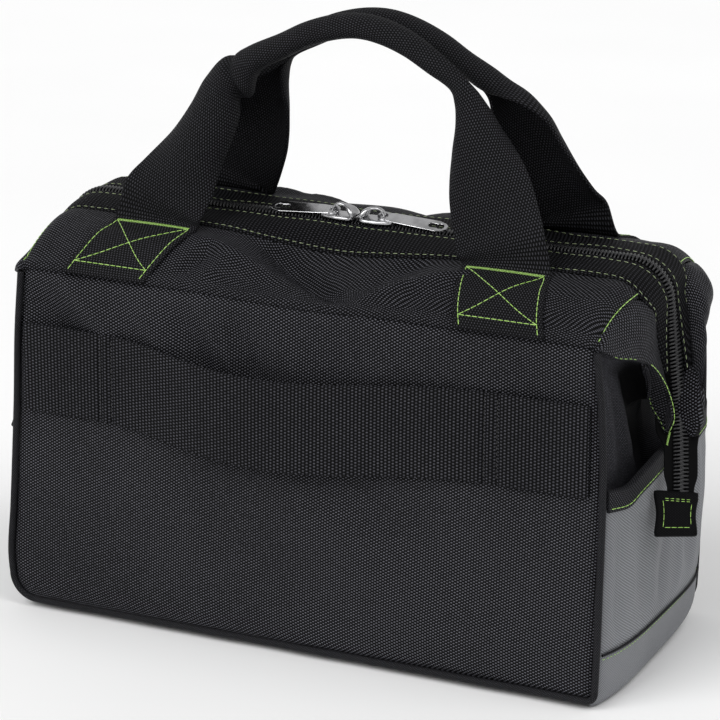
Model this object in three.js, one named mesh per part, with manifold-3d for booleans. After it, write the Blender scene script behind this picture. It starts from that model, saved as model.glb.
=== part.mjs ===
// A soft tool bag: a wide zipped mouth, two webbing handles, a loose front band and a pocket on each side.
// Millimetres, +Z up. +X runs along the mouth, the front panel faces -Y, and the base stands on z = 0.
// Every sewn piece is a thin wall, so the bag is hollow, and neighbouring pieces keep a small gap.

import * as THREE from 'three';
import { mergeVertices } from 'three/addons/utils/BufferGeometryUtils.js';
import Module from 'manifold-3d';

const wasm = await Module();
wasm.setup();

const { abs, cos, exp, max, min, PI, sin } = Math;
const RIGHT = 1;
const LEFT = -1;
const FRONT = -1;
const BACK = 1;

// Driving dimensions of the body
const DEPTH = 154; // between the front and the back panel
const SEAM_Z = 204; // the seam where the body ends and the mouth begins
const RIDGE_Z = 231; // the closed zip
const CLOTH = 1.8; // wall of a sewn panel
const GAP = 0.5; // air between neighbouring pieces
const FRONT_BULGE = 3; // how far the front and back panel swell
const PIPING_R = 2.3;
const PIPING_INSET = 0.4; // from the panel's edge to the middle of its piping
const PANEL_INSET = 3.4; // from that edge to the cut edge of the panel
// Height where a lower corner's rounding starts, at the front and at the back
const CORNER_Z = { [LEFT]: { [FRONT]: 19.5, [BACK]: 12 }, [RIGHT]: { [FRONT]: 10, [BACK]: 19 } };
const CORNER_DROP = 4.6; // from the base up to the panels' rounded outline
const BASE_FLAT = 66; // half the depth of the base's flat middle
const BASE_LIFT = 1.5; // how far the base's front and back edge turn up
const SIDE_END = 73.8; // half the depth of the pieces between the two pipings
const SIDE_POWER = 4; // how flat the swollen sides are

// Half widths by height: the left and right edge of the panels, and the swollen middle of the sides
const PROFILE = [
  { z: 0, left: 182, right: 175.7, middle: 183 },
  { z: 30, left: 185.3, right: 176.7, middle: 186 },
  { z: 60, left: 182.8, right: 177.3, middle: 187.5 },
  { z: 120, left: 178.5, right: 178, middle: 188.5 },
  { z: 165, left: 176.5, right: 177, middle: 188.5 },
  { z: 204, left: 173, right: 173, middle: 186 },
];

// Sides: a grey lower band and pocket in front of a black panel that sinks in towards the mouth
const BAND_TOP = 31;
const BAND_END_ANGLE = 0.87; // how far the lower band goes round the corner, in radians
const LAYER = 2.6; // from the grey layer's outside to the black panel's outside
const POCKET_TOP = 113.5; // at its front end
const BINDING_TOP = 125;
const MOUTH_LIFT = 7; // how much higher the pocket's mouth is from its middle to its back end
const BINDING_PROUD = 1;
const BINDING_THICK = 4;
const RECESS = 12;
const RECESS_FROM = 34;
const RECESS_TO = 115;
const SIDE_ROWS = [0, 0.12, 0.3, 0.48, 0.64, 0.8, 0.92]; // shares of the black panel's height
const RIM_CLEAR = 3.9; // the fold's rim stays this far inside the wing's lower edge
const RIM_REACH = 184; // and no further out than this, clear of the zip

// Zip
const ZIP_CORNER_R = 22; // where the ridge turns down over each end
const ZIP_CORNER_X = 162.5;
const ZIP_LEFT_IN = 3.5; // the left end of the mouth sits this much further in
const ZIP_LEFT_FROM = 127.8; // that shift fades out down to this height
const CHAIN_HALF = 4.2;
const CHAIN_TOP = 2;
const CHAIN_UNDER = 1.6;
const CHAIN_EDGE = 0.35; // share of that height at the chain's edges
const TAPE_THICK = 1;
const TAPE_HALF = 6.4; // where the mouth is sewn on
const FREE_TAPE_HALF = 9.2; // where the end hangs free
const BORDER_HALF = 27; // outer edge of the border band along the top
const BORDER_PROUD = 0.5;
const RIDGE_FALL = { [FRONT]: 3, [BACK]: 0.2 }; // how far the border band's outer edge lies below the zip
const RIDGE_SAG = { [FRONT]: 6, [BACK]: 1 }; // more, midway between the handles
const SAG_REACH = 52;
const TAB = 25; // square webbing tab on each end of the zip
const TAB_SHIFT = 2.3; // the tab is sewn on a little nearer the front
const TAB_THICK = 4.4;
const TAB_ROUND = 2;

// The zip round its corner: angle from upright, border half width, and where the top panel meets the seam
const ZIP_CORNER = [
  { angle: 0.31, border: 27, seam: 166.5 },
  { angle: 0.64, border: 27, seam: 170 },
  { angle: 0.96, border: 26.5, seam: 172.6 },
  { angle: 1.26, border: 23.5 },
  { angle: 1.57, border: 18.5 },
];
const MITRE_ROW = 2; // the corner's row where the top panel meets the wing

// The zip down the side, where it leans forwards and rolls towards the front
const ZIP_SIDE = [
  { z: 196, x: 186.2, y: -0.6, roll: 0.21, border: 14.5 },
  { z: 184, x: 188, y: -1.6, roll: 0.44, border: 11 },
  { z: 172, x: 189.8, y: -2.6, roll: 0.63, border: 9 },
  { z: 160, x: 191.6, y: -3.6, roll: 0.75, border: 8 },
  { z: 152, x: 192.7, y: -4.2, roll: 0.8, border: 7.6 },
  { z: 140, x: 195.4, y: -9, roll: 0.84 },
  { z: 129, x: 197.8, y: -14, roll: 0.87 },
  { z: 120, x: 199.6, y: -18, roll: 0.87 },
  { z: 112, x: 201, y: -21.5, roll: 0.87 },
];
const WING_END_ROW = 4; // where the wing ends and the zip hangs free
const BORDER_END_ROW = 2; // where the border band runs out

// Mouth
const DOME_POWER = 3.8; // roundness of the slope from the seam to the ridge
const DENT = { [FRONT]: 9, [BACK]: -1 }; // how far the slopes sink between the handles
const SLOPE_ROWS = [0, 0.12, 0.3, 0.5, 0.7, 0.86, 1]; // shares of the slope, seam to border
const SLOPE_STEP = 0.02; // share of the slope used to find its tilt
const WING_CORNER = { x: 174.5, y: 75.5, z: 203 };
const WING_BULGE = { [FRONT]: 1, [BACK]: 9 };
const MITRE_OUT = { x: 0.8, z: -0.6 }; // across the seam between a slope and a wing
// The wing's lower edge, from the bag's corner to the zip: share of the way, rise above it, and bow outwards
const WING_EDGE = [
  { along: 0, rise: 0, bow: 0 },
  { along: 0.23, rise: 5.4, bow: 2.7 },
  { along: 0.47, rise: 11.2, bow: 2.8 },
  { along: 0.73, rise: 15.7, bow: 1.2 },
  { along: 0.92, rise: 11.7, bow: 0.4 },
  { along: 1, rise: 0, bow: 0 },
];
const WING_SPAN = { from: 0.03, to: 0.97 }; // the part of that edge that the cloth reaches

// Webbing: handles and the front band
const WEBBING = 50;
const WEBBING_THICK = 2.4;
const FOOT_LOW = 0.01; // share of the slope where a handle's sewn foot begins
const FOOT_HIGH = 0.76; // and ends
const FOOT_CLEAR = 0.7; // air under it
const FOOT_POWER = 1.4; // its sections lie closer where the slope is steep
const FOOT_LOW_X = 118.5;
const FOOT_HIGH_X = 106;
// The soft handles lean to one side: shift of the feet and of the grip, and how far the grip hangs lower
const LEAN = {
  [FRONT]: { foot: -1, grip: 6, drop: 0, tilt: 0 },
  [BACK]: { foot: 7, grip: 13.5, drop: 1, tilt: 0.085 },
};
const GRIP_ROLL = 2.85; // half the angle that the webbing is rolled through, in radians
const GRIP_WIDTH = 38; // width that shows when it is rolled
const GRIP_SQUASH = 0.85; // the rolled grip is wider than it is high
const GRIP_SPREAD = 1.1;
const LEG_FACING = { out: 1, up: 0.15 }; // which way the flat leg and the rolled grip face
const GRIP_FACING = { out: 0.35, up: 1 };
// Middle of the webbing from the foot to the crown, and how far it is rolled up, from 0 to 1:
// first for the leg that narrows evenly, then for the leg that stays wide and creases near the top
const HANDLE_ROUTE = [
  { x: 102, rolled: 0.02, creasedX: 102.5, creased: 0.04, y: 37.2, z: 241 },
  { x: 95, rolled: 0.08, creasedX: 97.2, creased: 0.2, y: 32.5, z: 254 },
  { x: 86.5, rolled: 0.25, creasedX: 91, creased: 0.38, y: 27.5, z: 271 },
  { x: 78.5, rolled: 0.5, creasedX: 84.2, creased: 0.48, y: 22, z: 289 },
  { x: 73.5, rolled: 0.75, creasedX: 79.2, creased: 0.5, y: 17, z: 303 },
  { x: 68, rolled: 0.95, creasedX: 74.2, creased: 0.6, y: 13.5, z: 313 },
  { x: 60, rolled: 1, creasedX: 62.8, creased: 0.93, y: 11.5, z: 321.5 },
  { x: 46, rolled: 1, creasedX: 46, creased: 1, y: 11, z: 330 },
  { x: 31, rolled: 1, creasedX: 31, creased: 1, y: 11, z: 338 },
  { x: 15, rolled: 1, creasedX: 15, creased: 1, y: 11, z: 343.5 },
  { x: 0, rolled: 1, creasedX: 0, creased: 1, y: 11, z: 345.5 },
];
const FRONT_BAND_Z = 147; // middle height of the front band
const FRONT_BAND_HALF = 170;
const FRONT_BAND_SEWN = 117; // the band is sewn down beyond this
const FRONT_BAND_LOOSE = 9; // how far its middle stands off
const FRONT_BAND_DROOP = 9; // how far its middle hangs down
const FRONT_BAND_SKEW = 0.8; // moves the deepest hang off the middle

// Metal slider and pull
const SLIDER_NEAR = 1.2; // the two sliders stand nose to nose at x = 0
const SLIDER_FAR = 23;
const SLIDER_HALF = 6.5;
const SLIDER_TAPER = { from: 0.6, to: 0.75 }; // share of its length, and share of its width left
const SLIDER_PLATE = 1.8;
const SLIDER_LIFT = 2.4; // underside of the plate above the zip
const FLANGE_DROP = 1.6;
const FLANGE_THICK = 1.5;
const BAIL_X = 11; // middle of the round bail, which the pull turns about
const BAIL_R = 4.6;
const BAIL_WIRE_R = 1.2;
const BAIL_LEG = 1.3; // the bail's middle above the plate
const PULL_REACH = 43;
const PULL_HALF = 4.6;
const PULL_THICK = 1.8;
const PULL_RING_R = 3.9;
const PULL_EYE_R = 2.2;
const PULL_NECK = 3; // from the ring to the full width
const PULL_SLOT_R = 1.9;
const PULL_SLOT_LENGTH = 5;

// Finishes
const FINISH = {
  ballistic: { color: 0x2d2d2f, roughness: 0.8, metalness: 0 },
  webbing: { color: 0x1e1e20, roughness: 0.85, metalness: 0 },
  gusset: { color: 0x19191a, roughness: 0.7, metalness: 0 },
  greyTwill: { color: 0x787a7e, roughness: 0.75, metalness: 0 },
  tape: { color: 0x141415, roughness: 0.8, metalness: 0 },
  coil: { color: 0x101011, roughness: 0.4, metalness: 0 },
  nickel: { color: 0xc9cbcd, roughness: 0.22, metalness: 1 },
};

// Small helpers
const vec = (x, y, z) => new THREE.Vector3(x, y, z);
const lerp = THREE.MathUtils.lerp;
const smooth = THREE.MathUtils.smoothstep;
const steps = (count) => Array.from({ length: count + 1 }, (_, i) => i / count);
const along = (p, direction, distance) => p.clone().addScaledVector(direction, distance);
const mix = (p, q, t) => p.clone().lerp(q, t);

// Smooth curve through a table's rows, read at a value of its first column
function tableAt(table, key, column, value) {
  const last = table.length - 1;
  let i = 0;
  while (i < last - 1 && value > table[i + 1][key]) i += 1;
  const slope = (k) => {
    const a = table[max(k - 1, 0)];
    const b = table[min(k + 1, last)];
    return (b[column] - a[column]) / (b[key] - a[key]);
  };
  const span = table[i + 1][key] - table[i][key];
  const t = THREE.MathUtils.clamp((value - table[i][key]) / span, 0, 1);
  const rest = 1 - t;
  const start = table[i][column] * (1 + 2 * t) + slope(i) * span * t;
  const end = table[i + 1][column] * (1 + 2 * rest) - slope(i + 1) * span * rest;
  return start * rest * rest + end * t * t;
}

// Closed wall between two grids of points of the same size, with its faces pointing out
function wall(outer, inner) {
  const rows = outer.length;
  const columns = outer[0].length;
  const points = [...outer.flat(), ...inner.flat()];
  const at = (face, i, j) => (face * rows + i) * columns + j;
  const index = [];
  const quad = (a, b, c, d) => index.push(a, b, c, a, c, d);
  for (let i = 0; i + 1 < rows; i += 1) {
    for (let j = 0; j + 1 < columns; j += 1) {
      quad(at(0, i, j), at(0, i + 1, j), at(0, i + 1, j + 1), at(0, i, j + 1));
      quad(at(1, i, j), at(1, i, j + 1), at(1, i + 1, j + 1), at(1, i + 1, j));
    }
    quad(at(0, i, 0), at(1, i, 0), at(1, i + 1, 0), at(0, i + 1, 0));
    quad(at(0, i, columns - 1), at(0, i + 1, columns - 1), at(1, i + 1, columns - 1), at(1, i, columns - 1));
  }
  for (let j = 0; j + 1 < columns; j += 1) {
    quad(at(0, 0, j), at(0, 0, j + 1), at(1, 0, j + 1), at(1, 0, j));
    quad(at(0, rows - 1, j), at(1, rows - 1, j), at(1, rows - 1, j + 1), at(0, rows - 1, j + 1));
  }
  let volume = 0;
  for (let k = 0; k < index.length; k += 3) {
    const [a, b, c] = [points[index[k]], points[index[k + 1]], points[index[k + 2]]];
    volume += a.dot(b.clone().cross(c));
  }
  if (volume < 0) index.reverse();
  const geometry = new THREE.BufferGeometry().setFromPoints(points);
  geometry.setIndex(index);
  geometry.computeVertexNormals();
  return geometry;
}

// A wall from a grid of { p, inward } points
const sheet = (grid, thickness = CLOTH) =>
  wall(
    grid.map((row) => row.map(({ p }) => p)),
    grid.map((row) => row.map(({ p, inward }) => along(p, inward, thickness))),
  );

const circle = (radius) => new THREE.Shape().absarc(0, 0, radius, 0, 2 * PI);

// A smooth curve whose steps fall on its own points, close together where it bends
class StationCurve extends THREE.CatmullRomCurve3 {
  getPointAt(t) {
    return this.getPoint(t);
  }

  getTangentAt(t) {
    return this.getTangent(t);
  }

  getSpacedPoints(divisions) {
    return this.getPoints(divisions);
  }
}

// Round rod along a smooth curve through some points, with one ring at each
function rod(points, radius, sides) {
  return new THREE.ExtrudeGeometry(circle(radius), {
    extrudePath: new StationCurve(points),
    steps: points.length - 1,
    curveSegments: sides,
    bevelEnabled: false,
  });
}

// One closed body from several that overlap
function joined(geometries) {
  const solids = geometries.map((geometry) => {
    const bare = new THREE.BufferGeometry();
    const flat = geometry.index ? geometry.toNonIndexed() : geometry;
    bare.setAttribute('position', flat.getAttribute('position'));
    const merged = mergeVertices(bare, 1e-4);
    const vertProperties = merged.getAttribute('position').array;
    const triVerts = new Uint32Array(merged.index.array);
    return new wasm.Manifold(new wasm.Mesh({ numProp: 3, vertProperties, triVerts }));
  });
  const mesh = solids.reduce((sum, solid) => sum.add(solid)).getMesh();
  const geometry = new THREE.BufferGeometry();
  geometry.setAttribute('position', new THREE.BufferAttribute(new Float32Array(mesh.vertProperties), 3));
  geometry.setIndex([...mesh.triVerts]);
  geometry.computeVertexNormals();
  return geometry;
}

// Form of the body
const edgeX = (z, side) => tableAt(PROFILE, 'z', side === LEFT ? 'left' : 'right', z);
const halfDepth = DEPTH / 2;
const cornerZ = (side, y) => lerp(CORNER_Z[side][FRONT], CORNER_Z[side][BACK], (y + halfDepth) / DEPTH);
const mouthLift = (y) => MOUTH_LIFT * smooth(y, -SIDE_END, 0);

function sideX(y, z, side) {
  const middle = tableAt(PROFILE, 'z', 'middle', z);
  return lerp(middle, edgeX(z, side), (y / halfDepth) ** SIDE_POWER);
}

function frontY(x, z) {
  const across = max(0, 1 - (x / edgeX(SEAM_Z, RIGHT)) ** 2);
  return -halfDepth - FRONT_BULGE * across * sin((PI * z) / SEAM_Z);
}

const recess = (y, z) => RECESS * smooth(z, RECESS_FROM, RECESS_TO) * (1 - (y / halfDepth) ** 4);

// A point on the side, above the corner by height or round it by angle, at a depth under the grey layer
function sidePoint(side, y, z, depth = 0) {
  return { p: vec(side * (sideX(y, z, side) - depth), y, z), inward: vec(-side, 0, 0) };
}

function sideCorner(side, y, angle, depth = 0) {
  const start = cornerZ(side, y);
  const radius = start + LAYER - depth;
  const middle = sideX(y, start, side) - start - LAYER;
  const x = side * (middle + radius * cos(angle));
  const p = vec(x, y, start - radius * sin(angle));
  return { p, inward: vec(-side * cos(angle), 0, sin(angle)) };
}

// A panel's outline on one side, from the seam down and round the corner
function outline(side, face, inset, top) {
  const start = CORNER_Z[side][face];
  const straight = steps(6).map((t) => {
    const z = lerp(top, start, t);
    return { x: edgeX(z, side) - inset, z };
  });
  const middle = edgeX(start, side) - (start - CORNER_DROP);
  const radius = start - CORNER_DROP - inset;
  const round = steps(5).slice(1).map((t) => {
    const angle = (t * PI) / 2;
    return { x: middle + radius * cos(angle), z: start - radius * sin(angle) };
  });
  return [...straight, ...round];
}

function bodyPanel(face) {
  const right = outline(RIGHT, face, PANEL_INSET, SEAM_Z - CLOTH);
  const left = outline(LEFT, face, PANEL_INSET, SEAM_Z - CLOTH);
  const grid = right.map((end, i) =>
    steps(8).map((t) => {
      const x = lerp(-left[i].x, end.x, t);
      const z = lerp(left[i].z, end.z, t);
      return { p: vec(x, -face * frontY(x, z), z), inward: vec(0, -face, 0) };
    }),
  );
  return sheet(grid);
}

function piping(face) {
  const y = face * (halfDepth - PIPING_INSET);
  const top = SEAM_Z - PIPING_R;
  const right = outline(RIGHT, face, PIPING_INSET, top).map(({ x, z }) => vec(x, y, z));
  const left = outline(LEFT, face, PIPING_INSET, top).map(({ x, z }) => vec(-x, y, z));
  return rod([...left, vec(0, y, left.at(-1).z), ...right.reverse()], PIPING_R, 6);
}

const sideColumns = steps(10).map((t) => lerp(-SIDE_END, SIDE_END, t));

function base() {
  const down = steps(4).map((t) => (t * PI) / 2);
  const up = [...down].reverse();
  const columns = [-SIDE_END, -BASE_FLAT, 0, BASE_FLAT, SIDE_END];
  return sheet(columns.map((y) => {
    const row = [
      ...down.map((angle) => sideCorner(LEFT, y, angle, LAYER)),
      ...up.map((angle) => sideCorner(RIGHT, y, angle, LAYER)),
    ];
    if (abs(y) > BASE_FLAT) row.forEach(({ p }) => p.setZ(max(p.z, BASE_LIFT)));
    return row;
  }));
}

function lowerBand(side) {
  const heights = (y) => steps(2).map((t) => lerp(BAND_TOP, cornerZ(side, y), t));
  const angles = steps(3).slice(1).map((t) => t * BAND_END_ANGLE);
  return sheet(sideColumns.map((y) => [
    ...heights(y).map((z) => sidePoint(side, y, z)),
    ...angles.map((angle) => sideCorner(side, y, angle)),
  ]));
}

function pocket(side) {
  const heights = (y) => steps(4).map((t) => lerp(BAND_TOP + GAP, POCKET_TOP + mouthLift(y), t));
  return sheet(sideColumns.map((y) => heights(y).map((z) => sidePoint(side, y, z))));
}

function pocketBinding(side) {
  const heights = (y) => [POCKET_TOP + GAP + mouthLift(y), BINDING_TOP + mouthLift(y)];
  const grid = sideColumns.map((y) => heights(y).map((z) => sidePoint(side, y, z, -BINDING_PROUD)));
  return sheet(grid, BINDING_THICK);
}

// The zip's frames: place, direction along, outward normal, and direction across towards the back
function zipFrame(p, tangent, out, roll, rest) {
  const flatOut = along(out, tangent, -out.dot(tangent)).normalize();
  const flatAcross = tangent.clone().cross(flatOut).normalize();
  const normal = flatOut.clone().multiplyScalar(cos(roll)).addScaledVector(flatAcross, -sin(roll));
  const across = flatAcross.clone().multiplyScalar(cos(roll)).addScaledVector(flatOut, sin(roll));
  return { p, tangent, normal, across, ...rest };
}

const midway = (x) => exp(-((x / SAG_REACH) ** 2));

function topFrame(x) {
  const rest = { border: BORDER_HALF, seam: x };
  return zipFrame(vec(x, 0, RIDGE_Z), vec(-1, 0, 0), vec(0, 0, 1), 0, rest);
}

function cornerFrame({ angle, border, seam }) {
  const out = vec(sin(angle), 0, cos(angle));
  const middle = vec(ZIP_CORNER_X, 0, RIDGE_Z - ZIP_CORNER_R);
  const tangent = vec(-cos(angle), 0, sin(angle));
  return zipFrame(along(middle, out, ZIP_CORNER_R), tangent, out, 0, { border, seam });
}

function sideFrame(row, i) {
  const place = ({ x, y, z }) => vec(x, y, z);
  const above = i > 0 ? place(ZIP_SIDE[i - 1]) : cornerFrame(ZIP_CORNER.at(-1)).p;
  const below = place(ZIP_SIDE[min(i + 1, ZIP_SIDE.length - 1)]);
  const tangent = above.sub(below).normalize();
  return zipFrame(place(row), tangent, vec(1, 0, 0), row.roll, { border: row.border });
}

const mirrored = (v) => vec(-v.x, v.y, v.z);

// The same frame on the left, a little further in except where the zip hangs free beside the pocket
function mirroredFrame(f) {
  const clear = max(0, (f.p.z - ZIP_LEFT_FROM) / (RIDGE_Z - SEAM_Z));
  const p = mirrored(f.p);
  p.x += ZIP_LEFT_IN * min(1, f.p.x / ZIP_CORNER_X, clear);
  return {
    ...f,
    p,
    tangent: mirrored(f.tangent),
    normal: mirrored(f.normal),
    across: mirrored(f.across),
    seam: -f.seam,
  };
}


const topRun = steps(5).slice(1).map((t) => topFrame(t * ZIP_CORNER_X));
const cornerRun = ZIP_CORNER.map(cornerFrame);
const sideRun = ZIP_SIDE.map(sideFrame);
const frameOnSide = (frame, side) => (side === LEFT ? mirroredFrame(frame) : frame);

// All frames from the left end of the zip to the right end, with part of the side runs left off
function zipRun(sideRows) {
  const half = [...topRun, ...cornerRun, ...sideRun.slice(0, sideRows)];
  return [...half.map(mirroredFrame).reverse(), topFrame(0), ...half];
}

// A point of the mouth's cloth, at a signed distance across the zip and a height above the cloth
function zipPoint(frame, across, height = 0) {
  const face = across < 0 ? FRONT : BACK;
  const sag = RIDGE_SAG[face] * midway(frame.p.x);
  const fall = (RIDGE_FALL[face] + sag) * (across / BORDER_HALF) ** 2;
  return along(along(frame.p, frame.across, across), frame.normal, height - fall);
}

function zipRibbon(frames, face, from, to, top, under) {
  const halves = (frame) => [from(frame), to(frame)];
  const line = (frame, height) => halves(frame).map((half) => zipPoint(frame, face * half, height));
  return wall(frames.map((f) => line(f, top)), frames.map((f) => line(f, -under)));
}

const borderEdge = (frame, face) => zipPoint(frame, face * (frame.border + GAP));

function zipChain() {
  const frames = zipRun(ZIP_SIDE.length);
  const halves = [-1, -0.5, 0.5, 1].map((t) => t * CHAIN_HALF);
  const crown = (half) => (abs(half) < CHAIN_HALF ? 1 : CHAIN_EDGE);
  const line = (frame, height) => halves.map((half) => zipPoint(frame, half, height * crown(half)));
  return wall(frames.map((f) => line(f, CHAIN_TOP)), frames.map((f) => line(f, -CHAIN_UNDER)));
}

function zipTape(face) {
  const frames = zipRun(ZIP_SIDE.length);
  const outer = (frame) => (frame.border ? TAPE_HALF : FREE_TAPE_HALF);
  return zipRibbon(frames, face, () => CHAIN_HALF + GAP, outer, 0, TAPE_THICK);
}

function zipBorder(face) {
  const frames = zipRun(BORDER_END_ROW + 1);
  return zipRibbon(frames, face, () => TAPE_HALF + GAP, (f) => f.border, BORDER_PROUD, CLOTH - BORDER_PROUD);
}

// A webbing tab that is sewn over the zip's end
function zipTab(side) {
  const { p, tangent, normal, across } = frameOnSide(sideRun.at(-1), side);
  const shape = new THREE.Shape();
  const half = TAB / 2;
  const round = TAB_ROUND;
  shape.absarc(half - round, half - round, round, 0, PI / 2);
  shape.absarc(round - half, half - round, round, PI / 2, PI);
  shape.absarc(round - half, round - half, round, PI, 1.5 * PI);
  shape.absarc(half - round, round - half, round, 1.5 * PI, 2 * PI);
  const settings = { depth: TAB_THICK, curveSegments: 3, bevelEnabled: false };
  const geometry = new THREE.ExtrudeGeometry(shape, settings);
  geometry.translate(0, 0, -TAB_THICK / 2);
  const basis = new THREE.Matrix4().makeBasis(tangent.clone().cross(normal), tangent, normal);
  return { geometry, rotation: basis, position: along(along(p, tangent, -(half + GAP)), across, -TAB_SHIFT) };
}

// Slopes of the mouth: from the seam up to the border band
function slopePoint(frame, face, v) {
  const foot = vec(frame.seam, face * halfDepth, SEAM_Z + GAP);
  const head = borderEdge(frame, face);
  const p = mix(foot, head, v);
  const crown = (y) => 1 - (abs(y) / halfDepth) ** DOME_POWER;
  p.z = foot.z + ((head.z - foot.z) * crown(p.y)) / crown(head.y);
  p.z -= DENT[face] * midway(p.x) * sin(PI * v);
  return p;
}

// Inward normal of a slope, from its neighbouring points, and square with the border band at its upper edge
function slopeInward(frames, i, face, v) {
  if (v === 1) return frames[i].normal.clone().negate();
  const before = slopePoint(frames[max(i - 1, 0)], face, v);
  const after = slopePoint(frames[min(i + 1, frames.length - 1)], face, v);
  const low = slopePoint(frames[i], face, max(v - SLOPE_STEP, 0));
  const high = slopePoint(frames[i], face, min(v + SLOPE_STEP, 1));
  return after.sub(before).cross(high.sub(low)).multiplyScalar(face).normalize();
}

const slopeFrames = (() => {
  const half = [...topRun, ...cornerRun.slice(0, MITRE_ROW + 1)];
  return [...half.map(mirroredFrame).reverse(), topFrame(0), ...half];
})();

function topPanel(face) {
  return sheet(slopeFrames.map((frame, i) =>
    SLOPE_ROWS.map((v) => ({ p: slopePoint(frame, face, v), inward: slopeInward(slopeFrames, i, face, v) })),
  ));
}

// The wing's lower edge at a share of its length
function wingEdge(side, face, u) {
  const corner = vec(side * WING_CORNER.x, face * WING_CORNER.y, WING_CORNER.z);
  const end = borderEdge(frameOnSide(sideRun[WING_END_ROW], side), face);
  const p = mix(corner, end, tableAt(WING_EDGE, 'along', 'along', u));
  p.z += tableAt(WING_EDGE, 'along', 'rise', u);
  p.x += side * tableAt(WING_EDGE, 'along', 'bow', u);
  return p;
}

// The wing's upper edge: along the mitre seam, then down the border band
function wingTop(side, face) {
  const mitre = side === LEFT ? 0 : slopeFrames.length - 1;
  const seam = SLOPE_ROWS.slice(0, -1).map((v) => {
    const inward = slopeInward(slopeFrames, mitre, face, v);
    const outward = vec(side * MITRE_OUT.x, 0, MITRE_OUT.z);
    return { p: along(slopePoint(slopeFrames[mitre], face, v), outward, GAP), inward };
  });
  const run = [...cornerRun.slice(MITRE_ROW + 1), ...sideRun.slice(0, WING_END_ROW)];
  const border = run.map((frame) => {
    const placed = frameOnSide(frame, side);
    return { p: borderEdge(placed, face), inward: placed.normal.clone().negate() };
  });
  return [...seam, ...border];
}

function wing(side, face) {
  const tops = wingTop(side, face);
  return sheet(tops.map(({ p, inward }, i) => {
    const u = lerp(WING_SPAN.from, WING_SPAN.to, i / (tops.length - 1));
    const foot = wingEdge(side, face, u);
    return steps(3).map((v) => {
      const facing = mix(vec(-side, 0, 0), inward, v).normalize();
      const bulge = WING_BULGE[face] * sin(PI * v) * sin(PI * u);
      return { p: along(mix(foot, p, v), facing, -bulge), inward: facing };
    });
  }));
}

// The black side panel: sinks in behind the pocket, then folds out to the wings' lower edges
function sidePanel(side) {
  const shares = steps(7).map((t) => lerp(WING_SPAN.from, WING_SPAN.to, t));
  const edges = [
    ...shares.map((u) => wingEdge(side, FRONT, u)),
    ...shares.map((u) => wingEdge(side, BACK, u)).reverse(),
  ];
  const grids = edges.map((edge) => {
    const y = THREE.MathUtils.clamp(edge.y, -SIDE_END, SIDE_END);
    const top = edge.z - CLOTH;
    const panel = SIDE_ROWS.map((t) => {
      const z = lerp(cornerZ(side, y) + GAP, top, t);
      return sidePoint(side, y, z, LAYER + recess(y, z));
    });
    const fold = sidePoint(side, y, top, LAYER + recess(y, top));
    fold.inward = vec(-side, 0, 1);
    const rimX = side * min(abs(edge.x) - RIM_CLEAR, RIM_REACH);
    const rim = { p: vec(rimX, y, edge.z), inward: vec(0, 0, 1) };
    return [...panel, fold, rim];
  });
  return sheet(grids);
}

// Handle: the webbing's middle line, its outward normal, its direction across, and how far it is rolled
function handleStations(face) {
  const sewn = (side) => steps(3).map((t) => {
    const v = lerp(FOOT_LOW, FOOT_HIGH, t ** FOOT_POWER);
    const x = side * lerp(FOOT_LOW_X, FOOT_HIGH_X, t) + LEAN[face].foot;
    const here = slopePoint(topFrame(x), face, v);
    const rise = slopePoint(topFrame(x), face, v + SLOPE_STEP).sub(here);
    const out = vec(1, 0, 0).cross(rise).multiplyScalar(-face).normalize();
    return { p: along(here, out, FOOT_CLEAR + WEBBING_THICK / 2), out, v, side };
  });
  const lowest = HANDLE_ROUTE[0].z;
  const crown = HANDLE_ROUTE.at(-1).z;
  const { foot, grip, drop, tilt } = LEAN[face];
  const free = (side) => HANDLE_ROUTE.map(({ y, z, ...route }) => {
    const [x, rolled] = side === face ? [route.creasedX, route.creased] : [route.x, route.rolled];
    const t = (z - lowest) / (crown - lowest);
    const p = vec(side * x + lerp(foot, grip, t), face * y, z - (drop + tilt * side * x) * t);
    return { p, rolled };
  });
  const half = (side) => [...sewn(side), ...free(side)];
  return [...half(LEFT), ...half(RIGHT).reverse().slice(1)];
}

function handle(face) {
  const stations = handleStations(face);
  const shares = steps(8).map((t) => 2 * t - 1);
  const last = stations.length - 1;
  const section = (station, i, offset) => {
    if (station.out) {
      return shares.map((share) => {
        const x = station.p.x - (share * station.side * face * WEBBING) / 2;
        const here = slopePoint(topFrame(x), face, station.v);
        return along(here, station.out, FOOT_CLEAR + WEBBING_THICK / 2 + offset);
      });
    }
    const tangent = stations[min(i + 1, last)].p.clone().sub(stations[max(i - 1, 0)].p).normalize();
    const { rolled } = station;
    const facing = vec(
      0,
      face * lerp(LEG_FACING.out, GRIP_FACING.out, rolled),
      lerp(LEG_FACING.up, GRIP_FACING.up, rolled),
    );
    const out = along(facing, tangent, -facing.dot(tangent)).normalize();
    const across = out.clone().cross(tangent).normalize();
    const bend = GRIP_ROLL * rolled;
    const radius = lerp(WEBBING, GRIP_WIDTH, rolled) / 2 / bend;
    const centroid = (radius * sin(bend)) / bend;
    const spread = lerp(1, GRIP_SPREAD, rolled);
    const squash = lerp(1, GRIP_SQUASH, rolled);
    return shares.map((share) => {
      const angle = share * bend;
      const p = along(station.p, across, (spread * radius + offset) * sin(angle));
      return along(p, out, (squash * radius + offset) * cos(angle) - squash * centroid);
    });
  };
  const half = WEBBING_THICK / 2;
  return wall(
    stations.map((s, i) => section(s, i, half)),
    stations.map((s, i) => section(s, i, -half)),
  );
}

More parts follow.
